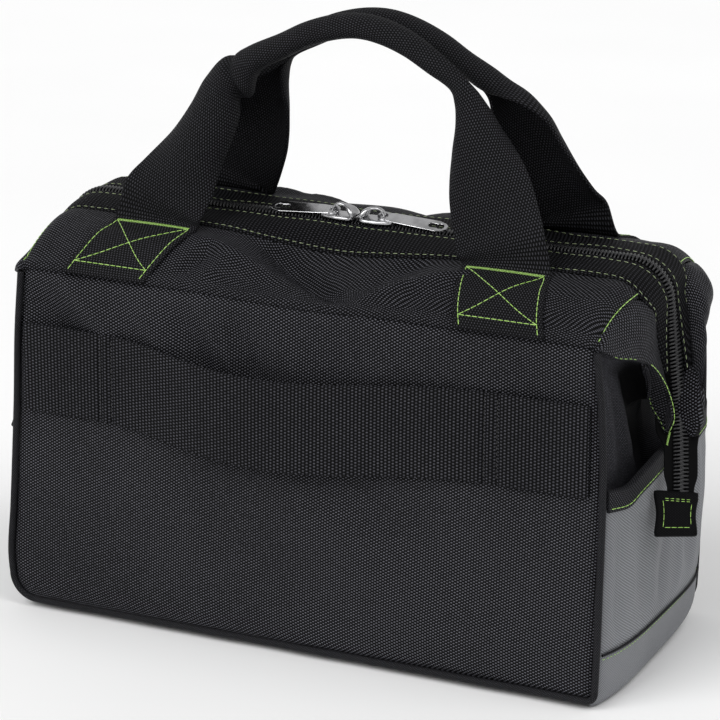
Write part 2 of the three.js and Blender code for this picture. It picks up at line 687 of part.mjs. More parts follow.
// The wide band across the front: sewn near its ends, loose and hanging between
function frontBand() {
  const grid = steps(24).map((t) => {
    const x = lerp(-FRONT_BAND_HALF, FRONT_BAND_HALF, t);
    const share = THREE.MathUtils.clamp((x + FRONT_BAND_SEWN) / (2 * FRONT_BAND_SEWN), 0, 1);
    const slack = sin(PI * share ** FRONT_BAND_SKEW) ** 2;
    return steps(2).map((s) => {
      const z = FRONT_BAND_Z + WEBBING * (s - 0.5) - FRONT_BAND_DROOP * slack;
      const y = frontY(x, z) - GAP - WEBBING_THICK - FRONT_BAND_LOOSE * slack;
      return { p: vec(x, y, z), inward: vec(0, 1, 0) };
    });
  });
  return sheet(grid, WEBBING_THICK);
}

// Slider: a plate over the chain with a flange on each side and a round bail on top
function slider() {
  const plateZ = RIDGE_Z + SLIDER_LIFT;
  const straight = (SLIDER_FAR - SLIDER_NEAR) * SLIDER_TAPER.from;
  const plan = new THREE.Shape();
  plan.moveTo(SLIDER_NEAR, -SLIDER_HALF);
  plan.lineTo(SLIDER_NEAR + straight, -SLIDER_HALF);
  plan.lineTo(SLIDER_FAR, -SLIDER_HALF * SLIDER_TAPER.to);
  plan.lineTo(SLIDER_FAR, SLIDER_HALF * SLIDER_TAPER.to);
  plan.lineTo(SLIDER_NEAR + straight, SLIDER_HALF);
  plan.lineTo(SLIDER_NEAR, SLIDER_HALF);
  const plate = new THREE.ExtrudeGeometry(plan, { depth: SLIDER_PLATE, bevelEnabled: false });
  plate.translate(0, 0, plateZ);
  const flanges = [-1, 1].map((face) => {
    const height = FLANGE_DROP + SLIDER_PLATE / 2;
    const flange = new THREE.BoxGeometry(straight, FLANGE_THICK, height);
    const y = face * (SLIDER_HALF - FLANGE_THICK / 2);
    return flange.translate(SLIDER_NEAR + straight / 2, y, plateZ - FLANGE_DROP + height / 2);
  });
  const bailZ = plateZ + SLIDER_PLATE + BAIL_LEG;
  const sunk = plateZ + SLIDER_PLATE / 2;
  const arc = steps(8).map((t) => vec(BAIL_X + BAIL_R * cos(PI * t), 0, bailZ + BAIL_R * sin(PI * t)));
  const ends = [BAIL_X + BAIL_R, BAIL_X - BAIL_R].map((x) => vec(x, 0, sunk));
  const bail = rod([ends[0], ...arc, ends[1]], BAIL_WIRE_R, 8);
  return joined([plate, ...flanges, bail]);
}

// Pull: a flat plate with an eye round the bail and a slot at its far end, modelled about the bail's middle
function pull() {
  const shape = new THREE.Shape();
  const shoulder = BAIL_R + PULL_RING_R;
  const endX = PULL_REACH - PULL_HALF;
  shape.absarc(BAIL_R, 0, PULL_RING_R, PI / 3, -PI / 3 + 2 * PI);
  shape.lineTo(shoulder + PULL_NECK, -PULL_HALF);
  shape.absarc(endX, 0, PULL_HALF, -PI / 2, PI / 2);
  shape.lineTo(shoulder + PULL_NECK, PULL_HALF);
  shape.closePath();
  const eye = new THREE.Path().absarc(BAIL_R, 0, PULL_EYE_R, 0, 2 * PI, true);
  const slot = new THREE.Path();
  slot.absarc(endX, 0, PULL_SLOT_R, PI / 2, -PI / 2, true);
  slot.absarc(endX - PULL_SLOT_LENGTH, 0, PULL_SLOT_R, -PI / 2, (-3 * PI) / 2, true);
  shape.holes.push(eye, slot);
  const settings = { depth: PULL_THICK, curveSegments: 6, bevelEnabled: false };
  const geometry = new THREE.ExtrudeGeometry(shape, settings);
  return geometry.translate(0, 0, -PULL_THICK / 2);
}

// Assembly
const bag = new THREE.Group();
const materials = Object.fromEntries(
  Object.entries(FINISH).map(([name, values]) => [name, new THREE.MeshStandardMaterial(values)]),
);

function add(name, finish, geometry) {
  const mesh = new THREE.Mesh(geometry, materials[finish]);
  mesh.name = name;
  bag.add(mesh);
  return mesh;
}

for (const [face, faceName] of [[FRONT, 'front'], [BACK, 'back']]) {
  add(`${faceName}_panel`, 'ballistic', bodyPanel(face));
  add(`piping_${faceName}`, 'gusset', piping(face));
  add(`top_${faceName}`, 'ballistic', topPanel(face));
  add(`zip_border_${faceName}`, 'webbing', zipBorder(face));
  add(`zip_tape_${faceName}`, 'tape', zipTape(face));
  add(`handle_${faceName}`, 'webbing', handle(face));
}

for (const [side, sideName] of [[LEFT, 'left'], [RIGHT, 'right']]) {
  add(`side_panel_${sideName}`, 'gusset', sidePanel(side));
  add(`lower_band_${sideName}`, 'greyTwill', lowerBand(side));
  add(`pocket_${sideName}`, 'greyTwill', pocket(side));
  add(`pocket_binding_${sideName}`, 'webbing', pocketBinding(side));
  add(`wing_front_${sideName}`, 'ballistic', wing(side, FRONT));
  add(`wing_back_${sideName}`, 'ballistic', wing(side, BACK));

  const tab = zipTab(side);
  const tabMesh = add(`zip_tab_${sideName}`, 'webbing', tab.geometry);
  tabMesh.quaternion.setFromRotationMatrix(tab.rotation);
  tabMesh.position.copy(tab.position);

  const sliderMesh = add(`zip_slider_${sideName}`, 'nickel', slider());
  const pullMesh = add(`zip_pull_${sideName}`, 'nickel', pull());
  pullMesh.position.set(side * BAIL_X, 0, RIDGE_Z + SLIDER_LIFT + SLIDER_PLATE + BAIL_LEG);
  if (side === LEFT) {
    sliderMesh.rotation.z = PI;
    pullMesh.rotation.z = PI;
  }
}

add('base', 'gusset', base());
add('front_band', 'webbing', frontBand());
add('zip_chain', 'coil', zipChain());

export default bag;
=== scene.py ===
import math

import bpy
import numpy as np
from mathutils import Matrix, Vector


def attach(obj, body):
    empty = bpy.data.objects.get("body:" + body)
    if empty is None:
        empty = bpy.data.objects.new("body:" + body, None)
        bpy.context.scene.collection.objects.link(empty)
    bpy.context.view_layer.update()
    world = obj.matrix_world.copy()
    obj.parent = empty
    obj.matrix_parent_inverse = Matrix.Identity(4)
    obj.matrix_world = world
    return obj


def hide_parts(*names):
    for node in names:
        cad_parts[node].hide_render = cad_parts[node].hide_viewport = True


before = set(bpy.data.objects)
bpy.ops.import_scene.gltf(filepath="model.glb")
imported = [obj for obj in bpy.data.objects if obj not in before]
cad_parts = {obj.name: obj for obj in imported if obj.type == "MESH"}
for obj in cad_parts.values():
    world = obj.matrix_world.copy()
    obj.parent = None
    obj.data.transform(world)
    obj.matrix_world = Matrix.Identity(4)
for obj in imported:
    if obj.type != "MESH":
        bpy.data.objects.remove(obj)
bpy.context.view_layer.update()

MM = 0.001
LEFT, RIGHT = -1, 1
FRONT, BACK = -1, 1
SIDE_NAMES = {LEFT: "left", RIGHT: "right"}
FACE_NAMES = {FRONT: "front", BACK: "back"}
UP = np.array([0.0, 0.0, 1.0])
ACROSS_BAG = np.array([1.0, 0.0, 0.0])
INSIDE = np.array([0.0, 0.0, 110.0])  # a point inside the bag, which every outer face looks away from

# Body
HALF_DEPTH = 77
SEAM_Z = 204
RIDGE_Z = 231
CLOTH = 1.8
GAP = 0.5
FRONT_BULGE = 3
PIPING_R = 2.3
PIPING_SHOWN = 1.95  # radius of the cord that shows; the rest is sewn in
TRIM_R = 0.7
PIPING_INSET = 0.4
PANEL_TUCK = 1.6  # the panel's edge is tucked in under its piping, this far from the outline
CORNER_Z = {LEFT: {FRONT: 19.5, BACK: 12}, RIGHT: {FRONT: 10, BACK: 19}}
CORNER_DROP = 4.6
BASE_FLAT, BASE_LIFT = 66, 1.5
SIDE_END = 73.8
SIDE_POWER = 4
# Columns: height, then half width at the left edge, at the right edge and in the swollen middle
PROFILE = np.array([
    (0, 182, 175.7, 183),
    (30, 185.3, 176.7, 186),
    (60, 182.8, 177.3, 187.5),
    (120, 178.5, 178, 188.5),
    (165, 176.5, 177, 188.5),
    (204, 173, 173, 186),
])

# Sides
BAND_TOP = 31
BAND_END_ANGLE = 0.87
LAYER = 2.6
POCKET_TOP = 113.5
BINDING_TOP = 125
MOUTH_LIFT = 7
MOUTH_DIP, MOUTH_DIP_Y, MOUTH_DIP_REACH = 2.4, -58, 10
BINDING_PROUD = 1
BINDING_THICK = 4
RECESS = 12
RECESS_FROM, RECESS_TO = 34, 115
SIDE_ROWS = np.array([0, 0.12, 0.3, 0.48, 0.64, 0.8, 0.92])
RIM_REACH = 184

# Zip
ZIP_CORNER_R = 22
ZIP_CORNER_X = 162.5
TOP_SHARES = np.array([0, 0.27, 0.52, 0.73, 0.88, 0.96, 1])  # stations along the top
ZIP_LEFT_IN, ZIP_LEFT_FROM = 3.5, 127.8
TAPE_THICK = 1
TAPE_HALF = 6.4
FREE_TAPE_HALF = 9.2
TAPE_GATHER = 2  # how far its edges are drawn together at the tab
TAPE_TUCK, TAPE_DROP = 6, 2.6  # how far the tape runs in under the border, and how deep
TAPE_STEP = (TAPE_HALF - 1.6, TAPE_HALF + 0.6)  # where it steps down to go under
TAPE_CURL = 0.9  # rise of its free edges below the wings
BORDER_HALF = 27
BORDER_PUFF = 0.3  # how far it swells between its seams
BORDER_PROUD = 0.8
BORDER_INNER = TAPE_HALF - 0.6
BORDER_OVER = 2.5  # how far the border lies over the seam
RIDGE_FALL = {FRONT: 3, BACK: 0.2}
RIDGE_SAG = {FRONT: 6, BACK: 1}
SAG_REACH = 52
TAB = 25
TAB_SHIFT = 2.3
TAB_THICK = 4.4
TAB_ROUND = 1.2
TAB_WAIST, TAB_SPREAD = 0.06, 0.03  # how far its sides are drawn in, and how far it widens upwards
TAB_BOW, TAB_PINCH = 0.7, 0.5  # rise of its middle, and fall of its upper corners
TAB_SKEW = 0.3
TAB_LAP = 2  # how far the zip runs on into its tabs
# Columns: angle from upright, border half width, and where the top panel meets the seam
ZIP_CORNER = np.array([
    (0.31, 27, 166.5),
    (0.64, 27, 170),
    (0.96, 26.5, 172.6),
    (1.26, 23.5, 172.6),
    (1.57, 18.5, 172.6),
])
MITRE_ROW = 2
# Columns: height, x, y, roll towards the front, and border half width
ZIP_SIDE = np.array([
    (196, 186.2, -0.6, 0.21, 14.5),
    (184, 188, -1.6, 0.44, 11),
    (172, 189.8, -2.6, 0.63, 9),
    (160, 191.6, -3.6, 0.75, 8),
    (152, 192.7, -4.2, 0.8, 7.6),
    (140, 195.4, -9, 0.84, 7.6),
    (129, 197.8, -14, 0.87, 7.6),
    (120, 199.6, -18, 0.87, 7.6),
    (112, 201, -21.5, 0.87, 7.6),
])
WING_END_ROW = 5
WING_END_Z = ZIP_SIDE[WING_END_ROW, 0]
BORDER_END_ROW = 2

# Mouth
DOME_POWER = 3.8
DENT = {FRONT: 9, BACK: -1}
SLOPE_ROWS = np.array([0, 0.12, 0.3, 0.5, 0.7, 0.86, 1])
WING_CORNER = (174.5, 75.5, 203)
WING_BULGE = {FRONT: 1, BACK: 9}
MITRE_OUT = (0.8, -0.6)
# The wing's free edge. Columns: place along it, share of the way from the bag's corner to the zip, rise
# above the straight line, bow outwards, and width of the hem that is turned in
WING_EDGE = np.array([
    (0, 0, 0, 0, 2),
    (0.17, 0.19, 4.6, 2.2, 2),
    (0.36, 0.41, 14, 2.9, 2),
    (0.6, 0.72, 24.6, 1.6, 3),
    (0.76, 0.93, 24.8, 1.2, 8.5),
    (0.88, 1.02, 17, 2.6, 13),
    (0.95, 1.03, 8.5, 3.4, 9),
    (1, 1.02, 1, 1, 2.5),
])
HEM_TURN = np.array([-1, 0.0, -0.2])  # which way the hem is turned: inwards and a little down

# Webbing
WEBBING = 50
WEBBING_THICK = 2.4
FOOT_LOW, FOOT_HIGH = 0.01, 0.76
FOOT_LOW_X, FOOT_HIGH_X = 118.5, 106
FOOT_CLEAR = 0.1
FOOT_POWER = 1.4
FOOT_STATIONS = 4
# Columns: shift of the feet and of the grip, and how far the grip hangs lower in all and on its right
LEAN = {FRONT: (-1, 6, 0, 0), BACK: (7, 13.5, 1, 0.085)}
GRIP_ROLL = 2.98
GRIP_WIDTH = 38
GRIP_SQUASH, GRIP_SPREAD = 0.85, 1.1
LEG_FACING, GRIP_FACING = (1, 0.15), (0.35, 1)
# Middle of the webbing from the foot to the crown, and how far it is rolled up. Columns: x and roll of the
# leg that narrows evenly, x and roll of the leg that stays wide and creases near the top, y and z
HANDLE_ROUTE = np.array([
    (102, 0.02, 102.5, 0.04, 37.2, 241),
    (95, 0.08, 97.2, 0.2, 32.5, 254),
    (86.5, 0.25, 91, 0.38, 27.5, 271),
    (78.5, 0.5, 84.2, 0.48, 22, 289),
    (73.5, 0.75, 79.2, 0.5, 17, 303),
    (68, 0.95, 74.2, 0.6, 13.5, 313),
    (60, 1, 62.8, 0.93, 11.5, 321.5),
    (46, 1, 46, 1, 11, 330),
    (31, 1, 31, 1, 11, 338),
    (15, 1, 15, 1, 11, 343.5),
    (0, 1, 0, 1, 11, 345.5),
])
# How far each station of the webbing is narrowed where leg and grip meet. Columns: outer and inner half of
# the leg that narrows evenly, of the front leg that stays wide, and of the back leg that stays wide
HANDLE_PINCH = np.array([
    (1, 1, 1, 1, 1, 1),
    (1, 1, 1, 1, 1.08, 1),
    (1, 1, 1, 0.95, 1.28, 1),
    (1, 1, 1, 0.92, 1.38, 1),
    (0.94, 1, 1, 0.7, 1.3, 1),
    (0.68, 1, 1, 1.12, 1.15, 1),
    (0.16, 0.85, 1, 1.1, 1.05, 1),
    (0.45, 1, 1, 1.05, 1, 1),
    (0.76, 1, 1, 1, 1, 1),
    (0.95, 1, 1, 1, 1, 1),
    (1, 1, 1, 1, 1, 1),
])
WIDE_LEG = {FRONT: 2, BACK: 4}  # first column of the leg that stays wide
# Crease where the front one is folded into the grip: stations at its inner and outer edge, depth, and half
# width in rows
CREASE_INNER, CREASE_OUTER = 8.0, 9.9
CREASE_DEPTH, CREASE_HALF = 3.0, 2.0
FRONT_BAND_Z = 147
FRONT_BAND_HALF = 170
FRONT_BAND_SEWN = 117
FRONT_BAND_LOOSE = 9
FRONT_BAND_DROOP = 9
FRONT_BAND_SKEW = 0.8

# Metal
SLIDER_NEAR, SLIDER_FAR = 1.2, 23
SLIDER_HALF = 6.5
SLIDER_PLATE = 1.8
SLIDER_LIFT = 2.4
BAIL_X = 11
BAIL_R = 4.6
BAIL_LEG = 1.3
PULL_REACH = 43
PULL_HALF = 4.6
PULL_THICK = 1.8
PULL_RING_R = 3.9
PULL_EYE_R = 2.2
PULL_SLOT_R = 1.9
PULL_SLOT_LENGTH = 5
PULL_NECK = 3
PULL_SOFT = 0.35  # rounding of its edges
PULL_TAPER = 1.4  # how far its far end is narrower
BAIL_Z = RIDGE_Z + SLIDER_LIFT + SLIDER_PLATE + BAIL_LEG

# Thread
THREAD_R = 0.23
FINE_R = 0.16
DASH, DASH_PITCH = 2.7, 4.4  # the border's dashed rows
SMALL_DASH, SMALL_PITCH = DASH * 0.8, DASH_PITCH * 0.7
RUN, RUN_PITCH = 3.4, 3.7  # close stitches that read as one line
# One stitch. Columns: place along it, thickness and height above the cloth, as shares of the thread's radius
STITCH = np.array([
    (0, 0.4, -0.7),
    (0.12, 0.9, 0.35),
    (0.5, 1, 0.6),
    (0.88, 0.9, 0.35),
    (1, 0.4, -0.7),
])

# Flat sizes of the sheets, in metres
FLAT = {
    "panel": (0.356, 0.204),
    "top": (0.065, 0.355),
    "border": (0.02, 0.46),
    "tape": (0.012, 0.68),
    "side": (0.15, 0.2),
    "lower band": (0.148, 0.034),
    "pocket": (0.15, 0.087),
    "binding": (0.15, 0.012),
    "tab": (0.025, 0.025),
    "base": (0.148, 0.37),
    "front band": (0.05, 0.342),
}

# How a sheet is drawn in along its seams: depth and reach
TUCKS = {
    "panel top": (2.6, 2.0),
    "panel": (1.9, 2.6),
    "pocket": (0.9, 2.2),
    "lower band": (0.9, 2.0),
    "border": (0.8, 2.0),
    "slope foot": (2.4, 1.1),
    "slope": (0.9, 1.8),
}

# Gentle swells of the cloth: random seed, wave length and height
SWELLS = {
    "panel": (3, 70, 0.5),
    "piping": (5, 45, 0.25),
    "pocket": (11, 40, 0.4),
    "border": (21, 55, 0.5),
    "slope": (31, 48, 0.7),
    "side": (41, 30, 0.6),
    "front band": (51, 70, 0.5),
}


# Small helpers
def lerp(a, b, t):
    return a + (b - a) * t


def smooth(x, a, b):
    t = np.clip((x - a) / (b - a), 0, 1)
    return t * t * (3 - 2 * t)


def bell(x, reach):
    return np.exp(-((x / reach) ** 2))


def unit(v):
    return v / np.maximum(np.linalg.norm(v, axis=-1, keepdims=True), 1e-9)


def table_at(table, column, value):
    """A smooth curve through a table's rows, read at a value of its first column."""
    keys, values = table[:, 0], table[:, column]
    low = np.maximum(np.arange(len(keys)) - 1, 0)
    high = np.minimum(np.arange(len(keys)) + 1, len(keys) - 1)
    slope = (values[high] - values[low]) / (keys[high] - keys[low])
    i = np.searchsorted(keys[1:-1], value)
    span = keys[i + 1] - keys[i]
    t = np.clip((value - keys[i]) / span, 0, 1)
    start = values[i] * (1 + 2 * t) + slope[i] * span * t
    end = values[i + 1] * (3 - 2 * t) - slope[i + 1] * span * (1 - t)
    return start * (1 - t) ** 2 + end * t**2


def refine(points, count, axis=0):
    """A smooth curve through the points along one axis, with count steps between neighbours."""
    p = np.moveaxis(np.asarray(points, float), axis, 0)
    p = np.concatenate([2 * p[:1] - p[1:2], p, 2 * p[-1:] - p[-2:-1]])
    a, b, c, d = (p[k:len(p) - 3 + k, None] for k in range(4))
    t = (np.arange(count) / count).reshape((1, -1) + (1,) * (p.ndim - 1))
    curve = b + 0.5 * t * (c - a + t * (2 * a - 5 * b + 4 * c - d + t * (3 * (b - c) + d - a)))
    curve = curve.reshape((-1,) + p.shape[1:])
    return np.moveaxis(np.concatenate([curve, p[-2:-1]]), 0, axis)


def steps(count):
    return np.linspace(0, 1, count + 1)


def lengths(grid, axis):
    """Distance travelled along one axis of a grid, from its first row."""
    way = np.linalg.norm(np.diff(grid, axis=axis), axis=-1).cumsum(axis)
    return np.concatenate([np.zeros_like(way.take([0], axis)), way], axis)


def grid_normals(grid, away=None):
    """Unit normals of a grid, on the side that looks away from the bag's inside or along directions."""
    normals = unit(np.cross(np.gradient(grid, axis=0), np.gradient(grid, axis=1)))
    looks = grid - INSIDE if away is None else away
    return normals * np.sign((normals * looks).sum())


def ripple(u, v, sheet, end=0):
    """Gentle uneven swells of a named sheet, a sum of waves in random directions."""
    seed, wave, height = SWELLS[sheet]
    rng = np.random.default_rng(seed + end)
    total = np.zeros_like(u)
    for _ in range(6):
        turn, phase = rng.uniform(0, 2 * math.pi, 2)
        size = wave * rng.uniform(0.7, 1.6)
        total += np.sin(2 * math.pi * (u * math.cos(turn) + v * math.sin(turn)) / size + phase)
    return total * height / 3


def folds(u, v, rows):
    """Soft ridges and dents along short lines. Rows: from u, v, to u, v, half width and rise."""
    total = np.zeros_like(u)
    for u0, v0, u1, v1, width, height in rows:
        along = np.array([u1 - u0, v1 - v0])
        size = np.linalg.norm(along)
        along = along / size
        t = ((u - u0) * along[0] + (v - v0) * along[1]) / size
        off = (v - v0) * along[0] - (u - u0) * along[1]
        total += height * bell(off, width) * smooth(t, -0.15, 0.3) * smooth(-t, -1.15, -0.7)
    return total


def sewn_edge(grid, edges):
    """Distance to the nearest sewn edge. Edges are named first, last, left and right."""
    rows, columns = lengths(grid, 0), lengths(grid, 1)
    found = {"first": rows, "last": rows[-1:] - rows, "left": columns, "right": columns[:, -1:] - columns}
    return np.min([found[e] for e in edges.split()], axis=0)


def tuck(grid, normals, edges, seam):
    """Pulls a sheet in along its sewn edges, as a named seam does."""
    depth, reach = TUCKS[seam]
    return grid - normals * (depth * bell(sewn_edge(grid, edges), reach))[..., None]


# Meshes
def add_uv(mesh, name, uvs):
    corners = np.empty(len(mesh.loops), np.int32)
    mesh.loops.foreach_get("vertex_index", corners)
    mesh.uv_layers.new(name=name).data.foreach_set("uv", np.asarray(uvs, np.float32)[corners].ravel())


def make_object(name, points, faces, material, uvs=None):
    mesh = bpy.data.meshes.new(name)
    mesh.from_pydata((np.asarray(points) * MM).tolist(), [], faces)
    mesh.polygons.foreach_set("use_smooth", [True] * len(mesh.polygons))
    if uvs is not None:
        add_uv(mesh, "cloth", uvs)
    mesh.materials.append(material)
    mesh.update()
    piece = bpy.data.objects.new(name, mesh)
    bpy.context.scene.collection.objects.link(piece)
    return piece


def place(piece, slot, *nodes, body="bag"):
    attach(piece, body)
    if nodes:
        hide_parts(*nodes)
    return piece


def quads(rows, columns, flip=False):
    """Faces of a grid of points, counted row by row."""
    i, j = np.meshgrid(np.arange(rows - 1), np.arange(columns - 1), indexing="ij")
    a = (i * columns + j).ravel()
    made = np.stack([a, a + 1, a + columns + 1, a + columns], 1)
    return made[:, ::-1] if flip else made


def border_loop(rows, columns):
    """Grid places round the edge, in order."""
    top = [(0, j) for j in range(columns)]
    right = [(i, columns - 1) for i in range(1, rows)]
    bottom = [(rows - 1, j) for j in range(columns - 2, -1, -1)]
    left = [(i, 0) for i in range(rows - 2, 0, -1)]
    return np.array(top + right + bottom + left).T


def sheet_mesh(name, grid, thickness, material, away=None, reach=0.4, turn=False, laid=None, painted_shade=None):
    """A cloth wall with rounded edges from the points of its outer face. Turned cloth runs the other way. A
    strip's own weave can be laid, as places along and across it, and cloth deep in a fold can be given
    painted shade, a darkening of its colour kept in a second map."""
    rows, columns = grid.shape[:2]
    normals = grid_normals(grid, away)
    inner = grid - normals * thickness
    i, j = border_loop(rows, columns)
    ahead = np.roll(grid[i, j], -1, 0) - np.roll(grid[i, j], 1, 0)
    outwards = unit(np.cross(normals[i, j], ahead))
    near = grid[np.clip(i, 1, rows - 2), np.clip(j, 1, columns - 2)]
    outwards *= np.sign(((grid[i, j] - near) * outwards).sum(-1, keepdims=True))
    angles = math.pi * np.array([0.2, 0.5, 0.8])
    over = np.stack([(j == columns - 1) * 1.0 - (j == 0), (i == rows - 1) * 1.0 - (i == 0)], 1)
    rim = [
        grid[i, j] + normals[i, j] * thickness * (math.cos(a) - 1) / 2 + outwards * reach * math.sin(a)
        for a in angles
    ]
    u = lengths(grid, 1)
    u = u - u[:, columns // 2:columns // 2 + 1]
    uv = np.stack([u, lengths(grid, 0)] if laid is None else laid, -1)
    face_up = np.cross(grid[1, 0] - grid[0, 0], grid[0, 1] - grid[0, 0]) @ normals[0, 0] > 0
    count = rows * columns
    faces = [quads(rows, columns, face_up), quads(rows, columns, not face_up) + count]
    edge = i * columns + j
    first = np.arange(len(edge)) + 2 * count
    rings = [edge, *[first + k * len(edge) for k in range(len(rim))], edge + count]
    for a, b in zip(rings, rings[1:]):
        ring = np.stack([a, np.roll(a, -1), np.roll(b, -1), b], 1)
        faces.append(ring if face_up else ring[:, ::-1])
    points = np.concatenate([grid.reshape(-1, 3), inner.reshape(-1, 3), *rim])
    flat_uv = uv.reshape(-1, 2)
    uvs = np.concatenate([flat_uv, flat_uv, *[flat_uv[edge] + over * a * thickness / 2 for a in angles]])
    uvs = uvs[:, ::-1] if turn else uvs
    piece = make_object(f"{name}_cloth", points, np.concatenate(faces).tolist(), material, uvs)
    # Painted shade: a factor that darkens the colour deep in a fold, kept in the UV map named depth
    if painted_shade is not None:
        depth = painted_shade.reshape(-1)
        depth = np.concatenate([depth, depth] + [depth[edge]] * len(rim))
        add_uv(piece.data, "depth", np.stack([depth, depth], 1))
    return piece


def rod_faces(rings, sides):
    """Faces of a closed skin over rings of points: its walls and its two ends."""
    r, s = np.meshgrid(np.arange(rings - 1), np.arange(sides), indexing="ij")
    a, b = (r * sides + s).ravel(), (r * sides + (s + 1) % sides).ravel()
    ends = np.stack([np.arange(sides)[::-1], (rings - 1) * sides + np.arange(sides)])
    return np.stack([a, b, b + sides, a + sides], 1), ends


def ring_tube(path, normals, radii, heights, sides):
    """Round rods along many short paths, an array of (count, rings, 3), as points and faces."""
    ahead = unit(np.gradient(path, axis=1))
    across = unit(np.cross(normals, ahead))
    up = unit(np.cross(ahead, across))
    angle = 2 * math.pi * np.arange(sides) / sides
    middle = path + up * heights[..., None]
    offset = up[:, :, None] * np.cos(angle)[:, None] + across[:, :, None] * np.sin(angle)[:, None]
    points = middle[:, :, None] + offset * radii[..., None, None]
    count, rings = path.shape[:2]
    walls, ends = rod_faces(rings, sides)
    start = (np.arange(count) * rings * sides)[:, None, None]
    faces = (walls + start).reshape(-1, 4).tolist()
    for end in ends:
        faces += (end + start[:, 0]).tolist()
    return points.reshape(-1, 3), faces


class Thread:
    """Stitches gathered into one mesh."""

    def __init__(self):
        self.points = []
        self.faces = []
        self.count = 0

    def add(self, points, faces):
        self.faces += [[k + self.count for k in face] for face in faces]
        self.points.append(points)
        self.count += len(points)

    def line(self, points, normals, length=RUN, pitch=RUN_PITCH, radius=THREAD_R):
        """Stitches along a line that lies on the cloth."""
        way = np.concatenate([[0], np.linalg.norm(np.diff(points, axis=0), axis=1).cumsum()])
        spare = (way[-1] - length) % pitch
        starts = np.arange(spare / 2, way[-1] - length + 1e-6, pitch)
        share, thick, high = STITCH.T
        at = starts[:, None] + share * length
        path = np.stack([np.interp(at, way, points[:, k]) for k in range(3)], -1)
        up = unit(np.stack([np.interp(at, way, normals[:, k]) for k in range(3)], -1))
        radii = np.broadcast_to(radius * thick, at.shape)
        heights = np.broadcast_to(radius * high, at.shape)
        self.add(*ring_tube(path, up, radii, heights, 6))

    def bar(self, start, end, normal, width=2.4, pitch=0.62, radius=THREAD_R * 0.85):
        """A dense zigzag between two points."""
        count = max(int(np.linalg.norm(end - start) / pitch), 2)
        across = unit(np.cross(normal, end - start))
        rng = np.random.default_rng(count)
        for k in range(count):
            middle = lerp(start, end, (k + 0.5) / count)
            half = across * width * rng.uniform(0.42, 0.56) + (end - start) / count * 0.4
            ends = np.array([middle - half, middle + half])
            self.line(ends, np.array([normal, normal]), width * 0.8, width * 2, radius)

    def make(self, name, material):
        return make_object(name, np.concatenate(self.points), self.faces, material)


class Surface:
    """Reads points and normals between the places of a grid."""

    def __init__(self, grid, normals):
        self.grid, self.normals = grid, normals

    def at(self, row, column):
        rows, columns = self.grid.shape[:2]
        row, column = np.broadcast_arrays(np.asarray(row, float), np.asarray(column, float))
        i = np.clip(row.astype(int), 0, rows - 2)
        j = np.clip(column.astype(int), 0, columns - 2)
        s, t = (row - i)[..., None], (column - j)[..., None]

        def read(g):
            return lerp(lerp(g[i, j], g[i + 1, j], s), lerp(g[i, j + 1], g[i + 1, j + 1], s), t)

        return read(self.grid), unit(read(self.normals))

    def line(self, start, end, count=40):
        t = steps(count)
        return self.at(lerp(start[0], end[0], t), lerp(start[1], end[1], t))


def cloth(name, slot, grid, thickness, material, flat, rests_on, held="stretched", **look):
    """Makes a sheet from its outer face, puts it in its solid's place on the bag, and gives its surface."""
    piece = sheet_mesh(name, grid, thickness, material, **look)
    place(piece, slot, name)
    return Surface(grid, grid_normals(grid, look.get("away")))


# Materials
class Nodes:
    """A material's node tree, with short calls for the nodes that repeat."""

    def __init__(self, name, roughness, metallic=0.0):
        self.material = bpy.data.materials.new(name)
        self.material.use_nodes = True
        self.tree = self.material.node_tree
        self.shader = self.tree.nodes["Principled BSDF"]
        self.shader.inputs["Roughness"].default_value = roughness
        self.shader.inputs["Metallic"].default_value = metallic

    def add(self, kind, **values):
        node = self.tree.nodes.new(kind)
        for key, value in values.items():
            setattr(node, key, value)
        return node

    def put(self, socket, value):
        if isinstance(value, bpy.types.NodeSocket):
            self.tree.links.new(value, socket)
        else:
            socket.default_value = value

    def math(self, operation, a, b=0.0):
        node = self.add("ShaderNodeMath", operation=operation)
        self.put(node.inputs[0], a)
        self.put(node.inputs[1], b)
        return node.outputs[0]

    def ramp(self, value, low, high, to_low=0.0, to_high=1.0):
        node = self.add("ShaderNodeMapRange", interpolation_type="SMOOTHSTEP")
        for socket, number in zip(node.inputs, (value, low, high, to_low, to_high)):
            self.put(socket, number)
        return node.outputs[0]

    def mix(self, share, a, b):
        node = self.add("ShaderNodeMix", data_type="RGBA")
        self.put(node.inputs["Factor"], share)
        colours = [s for s in node.inputs if s.type == "RGBA"]
        for socket, colour in zip(colours, (a, b)):
            self.put(socket, colour)
        return [s for s in node.outputs if s.type == "RGBA"][0]

    def noise(self, scale, detail=2.0):
        place = self.add("ShaderNodeTexCoord").outputs["Object"]
        node = self.add("ShaderNodeTexNoise")
        self.put(node.inputs["Vector"], place)
        self.put(node.inputs["Scale"], scale)
        self.put(node.inputs["Detail"], detail)
        return node.outputs["Fac"]

    def cloth_place(self):
        """The cloth's own coordinates, along and across its threads, in millimetres."""
        node = self.add("ShaderNodeSeparateXYZ")
        self.put(node.inputs[0], self.add("ShaderNodeUVMap", uv_map="cloth").outputs[0])
        return node.outputs[0], node.outputs[1]

    def wave(self, value, half):
        return self.math("SINE", self.math("MULTIPLY", value, math.pi / half))

    def colour(self, share, a, b):
        self.put(self.shader.inputs["Base Color"], self.mix(share, a, b))

    def bump(self, height, distance, strength=1.0):
        node = self.add("ShaderNodeBump")
        self.put(node.inputs["Height"], height)
        self.put(node.inputs["Distance"], distance * MM)
        self.put(node.inputs["Strength"], strength)
        self.put(self.shader.inputs["Normal"], node.outputs[0])


# Blue, and green where it is named too, as shares of the red
CLOTH_TINT = 1.155
TWILL_TINT = (1.1, 1.03)
METAL_TINT = 1.02
UNEVEN = 0.2  # how far worn cloth is lighter or darker from place to place
PAINTED_SHADE_CLOTH = "side"  # the cloth with painted shade: its colour is darkened deep in the hollow under the wings' hems
